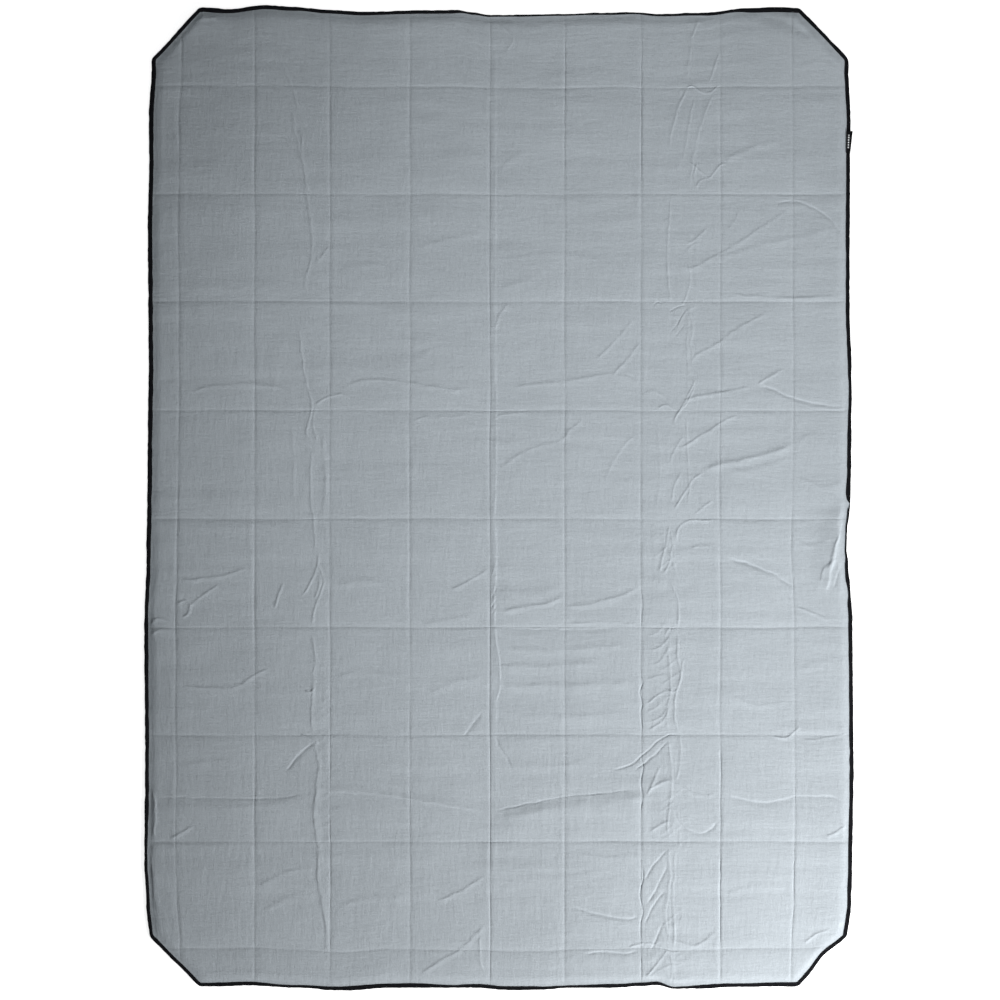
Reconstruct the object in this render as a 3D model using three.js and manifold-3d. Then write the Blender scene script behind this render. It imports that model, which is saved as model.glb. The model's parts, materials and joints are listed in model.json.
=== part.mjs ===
// A sauna blanket laid open: three layers of cloth, bound all round with folded tape, with
// cut corners and a small loop label on its right edge. Its two sides fold over the middle.
//
// Millimetres. X is the width, +Y points to the head end, and Z is up from the floor that
// the blanket lies on. The origin is under the middle of the blanket.

import * as THREE from 'three';
import { mergeVertices } from 'three/addons/utils/BufferGeometryUtils.js';
import Module from 'manifold-3d';

const wasm = await Module();
wasm.setup();

// Outline of the blanket, over its binding.
const WIDTH = 1300;
const LENGTH = 1800;
const CORNER_CUT = 92;
const CORNER_ROUND = 14;
const ROUND_STEPS = 4;

// The sides fold along two lines, each a little over a quarter of the width in from its edge.
const FOLD_LINE_X = 328.25;
const GAP = 0.3;

// The three layers, from the floor up.
const BACKING_THICKNESS = 0.5;
const INTERLINING_THICKNESS = 0.4;
const FACE_THICKNESS = 0.5;
const INTERLINING_BOTTOM = BACKING_THICKNESS + GAP;
const FACE_BOTTOM = INTERLINING_BOTTOM + INTERLINING_THICKNESS + GAP;
const FACE_TOP = FACE_BOTTOM + FACE_THICKNESS;

// The binding is a tape folded round the edges of both cloths.
const BINDING_WIDTH = 9;
const TAPE_THICKNESS = 0.4;
const BINDING_TOP = FACE_TOP + TAPE_THICKNESS;

// Both cloths are pressed thin where they run into the binding.
const MARGIN_THICKNESS = 0.35;
const MARGIN_INSET = TAPE_THICKNESS + GAP;
const STEP_OUTER_INSET = BINDING_WIDTH + GAP;
const STEP_WIDTH = 1;
const STEP_INNER_INSET = STEP_OUTER_INSET + STEP_WIDTH;
const BACKING_MARGIN_BOTTOM = TAPE_THICKNESS + GAP;
const BACKING_MARGIN_TOP = BACKING_MARGIN_BOTTOM + MARGIN_THICKNESS;
const FACE_MARGIN_BOTTOM = BACKING_MARGIN_TOP + GAP;
const FACE_MARGIN_TOP = FACE_MARGIN_BOTTOM + MARGIN_THICKNESS;
const INTERLINING_INSET = STEP_INNER_INSET + GAP;

// The line of stitches that holds the binding down.
const THREAD_WIDTH = 0.6;
const THREAD_HEIGHT = 0.3;
const STITCH_INSET = 6.4;
const THREAD_BOTTOM = BINDING_TOP + GAP;
const THREAD_TOP = THREAD_BOTTOM + THREAD_HEIGHT;

// The loop label: a ribbon folded flat on itself, which stands out past the right edge.
const LABEL_LENGTH = 41;
const LABEL_WIDTH = 12.7;
const LABEL_THICKNESS = 0.7;
const LABEL_FROM_HEAD = 242;
const LABEL_ROOT_X = WIDTH / 2 - 7.2;
const LABEL_FOLD_ROUND = 0.3;
const LABEL_FOLD_STEPS = 3;
const LABEL_Y = LENGTH / 2 - LABEL_FROM_HEAD;
const LABEL_BOTTOM = THREAD_TOP + GAP;
const TACK_WIDTH = 0.8;
const TACK_CLEARANCE = 1;

// Cuts that go right through run between these heights.
const CUT_BOTTOM = -1;
const CUT_TOP = 10;
const WELD_DISTANCE = 1e-4;

// Colours of the materials.
const GREY_BLUE = 0xa2acb4;
const SLATE = 0x8b959d;
const PALE_FELT = 0xc9c6bd;
const NEAR_BLACK = 0x15171c;
const THREAD_BLACK = 0x1c1e24;
const RIBBON_BLACK = 0x101115;

const cloth = (color, roughness = 0.9) => () => new THREE.MeshStandardMaterial({ color, roughness });
const faceCloth = cloth(GREY_BLUE);
const backingCloth = cloth(SLATE);
const felt = cloth(PALE_FELT, 0.95);
const tape = cloth(NEAR_BLACK, 0.8);
const thread = cloth(THREAD_BLACK, 0.7);
const ribbon = cloth(RIBBON_BLACK, 0.6);

// The blanket's outline, moved inwards by inset. Each of the eight corners turns through
// 45 degrees on an arc whose centre stays where it is as the inset grows.
function outline(inset) {
  const halfX = WIDTH / 2 - CORNER_ROUND;
  const halfY = LENGTH / 2 - CORNER_ROUND;
  const cut = CORNER_CUT - CORNER_ROUND * (2 - Math.SQRT2);
  const centres = [
    [halfX, -halfY + cut], [halfX, halfY - cut], [halfX - cut, halfY], [-halfX + cut, halfY],
    [-halfX, halfY - cut], [-halfX, -halfY + cut], [-halfX + cut, -halfY], [halfX - cut, -halfY],
  ];
  const radius = CORNER_ROUND - inset;
  const points = [];
  centres.forEach(([x, y], corner) => {
    const from = (corner - 1) * Math.PI / 4;
    for (let step = 0; step <= ROUND_STEPS; step += 1) {
      const angle = from + (step / ROUND_STEPS) * Math.PI / 4;
      points.push(new THREE.Vector2(x + radius * Math.cos(angle), y + radius * Math.sin(angle)));
    }
  });
  return new THREE.Shape(points);
}

// A closed mesh as a solid, for cutting and joining.
function solid(geometry) {
  const bare = geometry.index ? geometry.toNonIndexed() : geometry.clone();
  bare.deleteAttribute('normal');
  bare.deleteAttribute('uv');
  const merged = mergeVertices(bare, WELD_DISTANCE);
  return new wasm.Manifold(new wasm.Mesh({
    numProp: 3,
    vertProperties: Float32Array.from(merged.attributes.position.array),
    triVerts: Uint32Array.from(merged.index.array),
  }));
}

// A solid as a geometry again, with flat faces.
function geometryOf(body) {
  const { vertProperties, triVerts } = body.getMesh();
  const indexed = new THREE.BufferGeometry();
  indexed.setAttribute('position', new THREE.BufferAttribute(Float32Array.from(vertProperties), 3));
  indexed.setIndex(Array.from(triVerts));
  const flat = indexed.toNonIndexed();
  flat.computeVertexNormals();
  return flat;
}

// A plate with the blanket's outline.
function plate(inset, bottom, top) {
  const geometry = new THREE.ExtrudeGeometry(outline(inset), { depth: top - bottom, bevelEnabled: false });
  return solid(geometry.translate(0, 0, bottom));
}

function block(minX, maxX, minY, maxY, bottom, top) {
  const geometry = new THREE.BoxGeometry(maxX - minX, maxY - minY, top - bottom);
  return solid(geometry.translate((minX + maxX) / 2, (minY + maxY) / 2, (bottom + top) / 2));
}

// What a cut that goes right through takes away: all inside an inset outline, or a block.
function through(inset) {
  return plate(inset, CUT_BOTTOM, CUT_TOP);
}

function throughBlock(minX, maxX, minY, maxY) {
  return block(minX, maxX, minY, maxY, CUT_BOTTOM, CUT_TOP);
}

// The three zones that the fold lines divide the blanket into, and the two ends of the middle.
const FAR = LENGTH;
const CENTRE_HALF_WIDTH = FOLD_LINE_X - GAP / 2;
const zone = {
  left: throughBlock(-FAR, -FOLD_LINE_X - GAP / 2, -FAR, FAR),
  centre: throughBlock(-CENTRE_HALF_WIDTH, CENTRE_HALF_WIDTH, -FAR, FAR),
  right: throughBlock(FOLD_LINE_X + GAP / 2, FAR, -FAR, FAR),
  head: throughBlock(-CENTRE_HALF_WIDTH, CENTRE_HALF_WIDTH, 0, FAR),
  foot: throughBlock(-CENTRE_HALF_WIDTH, CENTRE_HALF_WIDTH, -FAR, 0),
};

// A cloth: its field, the thin margin that lies inside the binding, and the step between them.
function clothSolid(bottom, top, marginBottom, marginTop) {
  const field = plate(STEP_INNER_INSET, bottom, top);
  const margin = plate(MARGIN_INSET, marginBottom, marginTop).subtract(through(STEP_INNER_INSET));
  const stepBottom = Math.min(bottom, marginBottom);
  const stepTop = Math.max(top, marginTop);
  const step = plate(STEP_OUTER_INSET, stepBottom, stepTop).subtract(through(STEP_INNER_INSET));
  return field.add(step).add(margin);
}

function interliningSolid() {
  return plate(INTERLINING_INSET, INTERLINING_BOTTOM, INTERLINING_BOTTOM + INTERLINING_THICKNESS);
}

function bindingSolid() {
  const folded = plate(0, 0, BINDING_TOP);
  const pocket = plate(TAPE_THICKNESS, TAPE_THICKNESS, FACE_TOP);
  return folded.subtract(pocket).subtract(through(BINDING_WIDTH));
}

function stitchSolid() {
  const outer = plate(STITCH_INSET - THREAD_WIDTH / 2, THREAD_BOTTOM, THREAD_TOP);
  return outer.subtract(through(STITCH_INSET + THREAD_WIDTH / 2));
}

// The label seen along Y, from its sewn root to the round fold at its free edge.
function labelGeometry() {
  const round = LABEL_FOLD_ROUND;
  const section = new THREE.Shape();
  section.moveTo(0, 0);
  section.lineTo(LABEL_WIDTH - round, 0);
  section.absarc(LABEL_WIDTH - round, round, round, -Math.PI / 2, 0);
  section.lineTo(LABEL_WIDTH, LABEL_THICKNESS - round);
  section.absarc(LABEL_WIDTH - round, LABEL_THICKNESS - round, round, 0, Math.PI / 2);
  section.lineTo(0, LABEL_THICKNESS);
  const geometry = new THREE.ExtrudeGeometry(section, {
    depth: LABEL_LENGTH,
    bevelEnabled: false,
    curveSegments: LABEL_FOLD_STEPS,
  });
  return geometry.translate(0, 0, -LABEL_LENGTH / 2).rotateX(Math.PI / 2);
}

function tackGeometry() {
  return geometryOf(block(
    LABEL_ROOT_X - TACK_CLEARANCE - TACK_WIDTH, LABEL_ROOT_X - TACK_CLEARANCE,
    LABEL_Y - LABEL_LENGTH / 2, LABEL_Y + LABEL_LENGTH / 2,
    THREAD_BOTTOM, THREAD_TOP,
  ));
}

const blanket = new THREE.Group();

function addPiece(name, geometry, material) {
  const mesh = new THREE.Mesh(geometry, material());
  mesh.name = name;
  blanket.add(mesh);
  return mesh;
}

// The layers, each in three panels that meet at the fold lines.
const layers = {
  backing_cloth: [clothSolid(0, BACKING_THICKNESS, BACKING_MARGIN_BOTTOM, BACKING_MARGIN_TOP), backingCloth],
  interlining: [interliningSolid(), felt],
  face_cloth: [clothSolid(FACE_BOTTOM, FACE_TOP, FACE_MARGIN_BOTTOM, FACE_MARGIN_TOP), faceCloth],
};
for (const [layer, [body, material]] of Object.entries(layers)) {
  for (const side of ['centre', 'left', 'right']) {
    addPiece(`${layer}_${side}`, geometryOf(body.intersect(zone[side])), material);
  }
}

// The binding and its stitches: one run round each side, and one across each end of the middle.
const edging = {
  edge_binding: [bindingSolid(), tape],
  binding_stitch: [stitchSolid(), thread],
};
for (const [piece, [body, material]] of Object.entries(edging)) {
  for (const side of ['left', 'right', 'head', 'foot']) {
    addPiece(`${piece}_${side}`, geometryOf(body.intersect(zone[side])), material);
  }
}

const label = addPiece('loop_label', labelGeometry(), ribbon);
label.position.set(LABEL_ROOT_X, LABEL_Y, LABEL_BOTTOM);
addPiece('label_stitch', tackGeometry(), thread);

export default blanket;
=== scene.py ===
"""The looks of a sauna blanket laid open on a pale floor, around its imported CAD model.

The cloths are built as fine meshes over the blanket's flat cut. Every piece takes its place
from two shared rules: settle() moves a point of the flat cut sideways to where the edge
lies, and ground() says how far the blanket's underside is lifted off the floor there.
Sizes are in metres unless a comment says mm, in the frame's own axes: X across, +Y to the
head, Z up.
"""

import json
import math

import bpy
import numpy as np
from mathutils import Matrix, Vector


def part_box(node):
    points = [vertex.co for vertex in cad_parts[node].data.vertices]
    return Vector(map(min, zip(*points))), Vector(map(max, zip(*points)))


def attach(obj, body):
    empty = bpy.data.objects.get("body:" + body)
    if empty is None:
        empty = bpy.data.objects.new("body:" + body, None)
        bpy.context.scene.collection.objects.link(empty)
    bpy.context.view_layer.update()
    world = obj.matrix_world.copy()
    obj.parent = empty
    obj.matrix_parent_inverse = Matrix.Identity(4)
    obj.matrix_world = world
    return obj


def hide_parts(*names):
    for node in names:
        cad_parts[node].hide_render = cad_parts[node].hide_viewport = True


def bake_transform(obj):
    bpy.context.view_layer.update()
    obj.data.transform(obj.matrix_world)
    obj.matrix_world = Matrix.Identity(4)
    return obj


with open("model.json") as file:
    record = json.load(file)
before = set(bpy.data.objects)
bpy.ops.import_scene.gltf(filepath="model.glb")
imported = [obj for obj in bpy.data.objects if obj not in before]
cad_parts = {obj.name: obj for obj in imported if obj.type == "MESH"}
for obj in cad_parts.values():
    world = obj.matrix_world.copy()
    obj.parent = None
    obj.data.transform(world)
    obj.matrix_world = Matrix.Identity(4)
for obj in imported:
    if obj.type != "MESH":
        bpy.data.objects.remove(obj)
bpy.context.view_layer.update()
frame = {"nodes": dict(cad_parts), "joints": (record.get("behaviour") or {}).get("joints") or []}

MM = 0.001

# ---------------------------------------------------------------- measures from the frame

binding_low, binding_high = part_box("edge_binding_left")
HALF_WIDTH = -binding_low.x
HALF_LENGTH = binding_high.y
BINDING_WIDTH = HALF_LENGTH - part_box("edge_binding_head")[0].y
FACE_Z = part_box("face_cloth_centre")[1].z
INTERLINING_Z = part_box("interlining_centre")[1].z
STITCH_INSET = HALF_LENGTH - sum(c.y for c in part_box("binding_stitch_head")) / 2
JOINTS = {joint["name"]: joint for joint in frame["joints"]}
LEFT_FOLD_X = JOINTS["left_flap_fold"]["pos_m"][0]
RIGHT_FOLD_X = JOINTS["right_flap_fold"]["pos_m"][0]


def corner_cut():
    """How far each cut corner runs along either side."""
    vertices = frame["nodes"]["edge_binding_right"].data.vertices
    reach = max(v.co.x + v.co.y for v in vertices)
    return HALF_WIDTH + HALF_LENGTH - reach


CORNER_CUT = corner_cut()
CORNER_ROUND = 14 * MM
# The cloths run nearly to the outer edge, inside the binding. The interlining stops short of it.
CLOTH_INSET = 0.9 * MM
INTERLINING_INSET = BINDING_WIDTH + 2 * MM

# The pressed creases, counted 1 to 9 from the left and from the head, in mm.
CREASES_DOWN = [-593, -451, -312, -164, -16, 122, 263, 409, 544]
CREASES_ACROSS = [759, 561, 363, 162, -38, -238, -437, -634, -830]
CREASES = range(1, 10)
MIDDLE_CREASE = 5


def panel_place(count, creases, before, after):
    """The place at a number of panels along; whole numbers are creases, 0 and 10 edges."""
    return np.interp(count, range(11), np.array([before, *creases, after]) * MM)


def crease_x(count):
    return panel_place(count, CREASES_DOWN, -HALF_WIDTH / MM, HALF_WIDTH / MM)


def crease_y(count):
    return panel_place(count, CREASES_ACROSS, HALF_LENGTH / MM, -HALF_LENGTH / MM)


# ---------------------------------------------------------------- camera

CAMERA_LENS = 85
CAMERA_SENSOR = 36
VIEW_WIDTH = 1.848
VIEW_CENTRE = (0.0022, -0.0028)


def make_camera():
    """Looks straight down, as from a high boom."""
    data = bpy.data.cameras.new("camera")
    data.lens = CAMERA_LENS
    data.sensor_width = CAMERA_SENSOR
    camera = bpy.data.objects.new("camera", data)
    height = VIEW_WIDTH / 2 * CAMERA_LENS / (CAMERA_SENSOR / 2)
    camera.location = (*VIEW_CENTRE, height)
    bpy.context.scene.collection.objects.link(camera)
    bpy.context.scene.camera = camera


# ---------------------------------------------------------------- curves and noise


def smooth(t):
    t = np.clip(t, 0, 1)
    return t * t * (3 - 2 * t)


def ramp(value, start, end):
    """From 0 at start to 1 at end, level at both."""
    return smooth((value - start) / (end - start))


def through(points, at):
    """A smooth curve through (position, value) points, level at each of them."""
    places, values = np.array(sorted(points)).T
    index = np.clip(np.searchsorted(places, at) - 1, 0, len(places) - 2)
    share = smooth((at - places[index]) / (places[index + 1] - places[index]))
    return values[index] + (values[index + 1] - values[index]) * share


NOISE_CELLS = 256  # cells each way before the noise repeats


def lattice_noise(x, y, cell_x, cell_y, seed):
    """Smooth noise from -1 to 1, with one random value at each corner of a grid of cells.
    Every use has a seed of its own."""
    values = np.random.default_rng(seed).uniform(-1, 1, (NOISE_CELLS, NOISE_CELLS))
    gx = np.asarray(x) / cell_x + NOISE_CELLS / 2
    gy = np.asarray(y) / cell_y + NOISE_CELLS / 2
    ix = np.floor(gx).astype(int)
    iy = np.floor(gy).astype(int)
    fx = smooth(gx - ix)
    fy = smooth(gy - iy)
    left, right = ix % NOISE_CELLS, (ix + 1) % NOISE_CELLS
    near, far = iy % NOISE_CELLS, (iy + 1) % NOISE_CELLS
    low = values[left, near] * (1 - fx) + values[right, near] * fx
    high = values[left, far] * (1 - fx) + values[right, far] * fx
    return low * (1 - fy) + high * fy


def bell(distance, width):
    return np.exp(-((distance / width) ** 2))


def rounded_line(points, steps=6):
    """More points on a Catmull-Rom curve through a few."""
    points = [np.array(p, float) for p in points]
    if len(points) < 3:
        return np.array(points)
    ends = [2 * points[0] - points[1], *points, 2 * points[-1] - points[-2]]
    line = []
    for a, b, c, d in zip(ends, ends[1:], ends[2:], ends[3:]):
        for t in np.arange(steps) / steps:
            bend = (2 * a - 5 * b + 4 * c - d) * t**2 + (3 * b - a - 3 * c + d) * t**3
            line.append(b + ((c - a) * t + bend) / 2)
    return np.array([*line, points[-1]])


# ---------------------------------------------------------------- how the blanket lies

EDGE_REACH = 220 * MM  # how far in from an edge the cloth is moved along with it
# How far each edge lies out from its straight line, as (place along it, distance out), in mm.
LEFT_EDGE = [
    (-900, -8), (-820, -5), (-745, 1.5), (-670, 5), (-512, 3.5), (-225, 5), (-120, 1), (60, -1),
    (240, -3.3), (367, -2.5), (500, -1.7), (620, -4), (700, -3.5), (790, -8.5), (900, -9),
]
RIGHT_EDGE = [
    (-900, -9), (-820, -7), (-745, 1), (-660, 3), (-500, 5.5), (-370, 4.5), (-225, 3),
    (-165, -1), (-120, -5), (-95, -8), (-62, -7), (-8, -1.5), (60, 0.5), (200, 1.8), (255, 1),
    (330, -2), (500, -2), (600, -1), (700, 0), (790, -4), (900, -5),
]
HEAD_EDGE = [
    (-650, 6), (-560, 7), (-500, 4), (-430, 11), (-375, 7.5), (-320, 2.5), (-250, -1.5),
    (-130, 1.5), (-75, 2), (-45, -3), (-18, -7), (30, -7), (110, -5.5), (200, -3), (250, -2.5),
    (290, -5.5), (380, -3), (455, 5.5), (510, 7.5), (560, 5.5), (650, 6),
]
FOOT_EDGE = [
    (-650, 2), (-545, 1.8), (-460, -0.3), (-370, 4), (-290, 9), (-200, 4), (-40, 4), (20, 8),
    (70, 7.5), (140, 4), (215, 4), (260, 1), (292, -1), (325, 6), (380, 5), (440, 2),
    (560, 1.5), (650, 1),
]
# The right corner at the foot dips in, near the middle of its cut.
FOOT_CORNER_DENT = 6 * MM
DENT_REACH = 28 * MM
DENT_X = HALF_WIDTH - CORNER_CUT * 0.42
DENT_Y = CORNER_CUT * 0.58 - HALF_LENGTH
# The threads, and the creases along them, are never quite straight.
WANDER = 1.3 * MM
WANDER_INSET = 60 * MM
# Soft lifts of the underside: (height, place across, place along, reach across, reach along).
LIFTS = [
    (4.5 * MM, 0.60, 0.86, 0.10, 0.05),
    (3.0 * MM, -0.57, 0.88, 0.07, 0.03),
    (1.6 * MM, 0.66, -0.05, 0.05, 0.10),
]
# The left edge lies lower than the panels beside it, and the right and head edges higher.
LEFT_DROP = 1.7 * MM
RIGHT_RISE = 2.4 * MM
NOTCH_RISE = 1.2 * MM
HEAD_RISE = 2.2 * MM
# The blanket lies flat on the floor round the label, so that the label can turn over.
label_low, label_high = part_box("loop_label")
LABEL_MIDDLE = ((label_low.x + label_high.x) / 2, (label_low.y + label_high.y) / 2)
LABEL_FLAT = 30 * MM
LABEL_FLAT_REACH = 120 * MM


def settle(x, y):
    """Where a point of the flat cut lies, seen from above."""
    x = np.asarray(x, float)
    y = np.asarray(y, float)
    left = smooth(1 - (x + HALF_WIDTH) / EDGE_REACH)
    right = smooth(1 - (HALF_WIDTH - x) / EDGE_REACH)
    head = smooth(1 - (HALF_LENGTH - y) / EDGE_REACH)
    foot = smooth(1 - (y + HALF_LENGTH) / EDGE_REACH)
    out_x = (through(RIGHT_EDGE, y / MM) * right - through(LEFT_EDGE, y / MM) * left) * MM
    out_y = (through(HEAD_EDGE, x / MM) * head - through(FOOT_EDGE, x / MM) * foot) * MM
    dent = FOOT_CORNER_DENT * bell(np.hypot(x - DENT_X, y - DENT_Y), DENT_REACH)
    inner = ramp(inset_of(x, y), 0, WANDER_INSET)
    wander_x = WANDER * lattice_noise(y, x, 0.10, 0.21, 13) * inner
    wander_y = WANDER * lattice_noise(x, y, 0.10, 0.25, 14) * inner
    return x + out_x + wander_x - dent * 0.6, y + out_y + wander_y + dent * 0.8


def ground(x, y):
    """How far the underside is lifted off the floor."""
    height = 0.7 * MM * (1 + lattice_noise(x, y, 0.24, 0.19, 11))
    height = height + 0.25 * MM * (1 + lattice_noise(x, y, 0.07, 0.09, 12))
    for rise, at_x, at_y, reach_x, reach_y in LIFTS:
        height = height + rise * bell(x - at_x, reach_x) * bell(y - at_y, reach_y)
    along_sides = ramp(np.abs(y + 0.1), 0.85, 0.65)
    left_low = LEFT_DROP * ramp(x, -0.655, -0.58) * ramp(x, -0.22, -0.52) * along_sides
    right_high = RIGHT_RISE * ramp(x, 0.55, 0.64) * along_sides
    right_notch = NOTCH_RISE * ramp(x, 0.56, 0.64) * bell(y + 0.02, 0.11)
    head_high = HEAD_RISE * ramp(y, 0.79, 0.89) * ramp(np.abs(x + 0.02), 0.54, 0.38)
    from_label = np.hypot(x - LABEL_MIDDLE[0], y - LABEL_MIDDLE[1])
    lifted = ramp(from_label, LABEL_FLAT, LABEL_FLAT_REACH)
    return (height + left_low + right_high + right_notch + head_high) * lifted


def inset_of(x, y):
    """How far a point of the flat cut is in from the outline."""
    from_side = HALF_WIDTH - np.abs(x)
    from_end = HALF_LENGTH - np.abs(y)
    from_corner = (from_side + from_end - CORNER_CUT) / math.sqrt(2)
    return np.minimum(np.minimum(from_side, from_end), from_corner)


# ---------------------------------------------------------------- creases and wrinkles

# The pressed creases in order: their depths in mm, and how dark a line is painted along each, partly for
# crushed fibres and partly as painted shade in the groove.
DOWN_DEPTHS = [0.3, 0.34, 0.34, 0.32, 0.42, 0.36, 0.42, 0.42, 0.36]
DOWN_CRUSH_AND_SHADE = [1.1, 1.2, 1.3, 1.1, 1.15, 1.2, 1.8, 1.2, 1.2]
ACROSS_DEPTHS = [0.2, 0.22, 0.26, 0.34, 0.28, 0.26, 0.26, 0.24, 0.22]
ACROSS_CRUSH_AND_SHADE = 1.1
GROOVE = 1.0 * MM
SHOULDER_AWAY = 6.5 * MM
SHOULDER = 3.8 * MM
CROWN = 0.8 * MM
CROWN_REACH = 13 * MM
SWELL = 0.36 * MM
# The width of the dark line painted along each crease (partly crushed fibres, partly painted shade in the
# groove), and how far it lies to one side of the groove.
CRUSH_AND_SHADE_WIDTH = 1.1 * MM
CRUSH_AND_SHADE_SHIFT = 0.5 * MM
LOFT = 0.9 * MM


def crease(distance, along, count, depth, seed):
    """One pressed crease: a narrow groove, deeper and shallower along its length, between two
    uneven shoulders."""
    strength = 0.85 + 0.6 * lattice_noise(along, count, 0.07, 1, seed)
    before = np.maximum(lattice_noise(along, count, 0.06, 1, seed + 1) + 0.25, 0)
    after = np.maximum(lattice_noise(along, count, 0.06, 1, seed + 2) + 0.25, 0)
    shoulders = before * bell(distance + SHOULDER_AWAY, SHOULDER)
    shoulders = shoulders + after * bell(distance - SHOULDER_AWAY, SHOULDER)
    return depth * MM * (0.95 * shoulders - strength * bell(distance, GROOVE))


def crease_relief(x, y):
    """The grid of pressed creases, and the slight crown of the panels between them."""
    total = np.zeros_like(x)
    down = np.full_like(x, 1.0)
    across = np.full_like(x, 1.0)
    for count, depth in zip(CREASES, DOWN_DEPTHS):
        total += crease(x - crease_x(count), y, count, depth, 31)
        down = np.minimum(down, np.abs(x - crease_x(count)))
    for count, depth in zip(CREASES, ACROSS_DEPTHS):
        total += crease(crease_y(count) - y, x, count, depth, 41)
        across = np.minimum(across, np.abs(y - crease_y(count)))
    crown_x = CROWN * (0.5 + 0.5 * lattice_noise(x, y, 0.10, 0.12, 35))
    crown_y = CROWN * (0.8 + 0.6 * lattice_noise(x, y, 0.12, 0.10, 36))
    total += crown_x * (1 - np.exp(-down / CROWN_REACH)) + crown_y * (1 - np.exp(-across / CROWN_REACH))
    return total


def crush_and_shade_marks(x, y):
    """How dark a line is painted along the creases, partly for crushed fibres and partly as painted
    shade in the grooves: 0 off the pressed creases, about 1 on most of them and 2 on the darkest."""
    mark = np.zeros_like(x)
    for count, darkness in zip(CREASES, DOWN_CRUSH_AND_SHADE):
        along_down = 0.8 + 0.4 * lattice_noise(y, count, 0.05, 1, 45)
        along_across = 0.8 + 0.4 * lattice_noise(x, count, 0.05, 1, 46)
        down = darkness * along_down * bell(x - crease_x(count) - CRUSH_AND_SHADE_SHIFT, CRUSH_AND_SHADE_WIDTH)
        across = ACROSS_CRUSH_AND_SHADE * along_across * bell(crease_y(count) - y - CRUSH_AND_SHADE_SHIFT, CRUSH_AND_SHADE_WIDTH)
        mark = np.maximum(mark, np.maximum(down, across))
    return mark


def swell_relief(x, y):
    """Soft swells that run across the blanket, between the creases."""
    long = lattice_noise(x, y, 0.15, 0.017, 37)
    short = lattice_noise(x, y, 0.07, 0.030, 38)
    fine = lattice_noise(x, y, 0.060, 0.008, 39) + 0.7 * lattice_noise(x, y, 0.009, 0.050, 40)
    return SWELL * (long + 0.65 * short + 0.3 * fine)


# The tuck beside the middle crease: the cloth drops at the crease and rises to a ridge,
# which wanders. The ridge's place is given as (Y, X), and its height as (Y, height), in mm.
TUCK_RIDGE = [
    (-420, -5), (-378, -4), (-345, 2), (-305, 1), (-245, -6), (-200, -9), (-114, -5), (-60, -6),
    (-38, -9), (20, -5), (120, -4), (220, -7), (330, -6), (420, -6),
]
TUCK_HEIGHT = [
    (-900, 0.1), (-600, 0.2), (-430, 0.3), (-385, 0.6), (-300, 0.8), (-245, 0.75), (-236, 0.2),
    (-226, 0.75), (-150, 0.8), (-60, 0.7), (-38, 0.3), (-20, 0.6), (80, 0.6), (200, 0.55),
    (300, 0.4), (480, 0.4), (700, 0.4), (900, 0.2),
]
TUCK_VALLEY = 1.5 * MM  # left of the middle crease
TUCK_EDGE = 1.3 * MM


def tuck_relief(x, y):
    valley = crease_x(MIDDLE_CREASE) - TUCK_VALLEY
    ridge = through(TUCK_RIDGE, y / MM) * MM + 1.0 * MM * lattice_noise(y, x, 0.021, 1, 57)
    height = through(TUCK_HEIGHT, y / MM) * MM * (1 + 0.4 * lattice_noise(y, x, 0.013, 1, 58))
    share = (x - valley) / np.maximum(ridge - valley, 4 * MM)
    crest = bell(x - ridge, TUCK_EDGE)
    rise = np.where(share < 1, 0.6 * share + 0.4 * crest, crest)
    rise = np.where(share < 0, 0, rise)
    return height * (rise - 0.3 * bell(x - valley, TUCK_EDGE))


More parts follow.
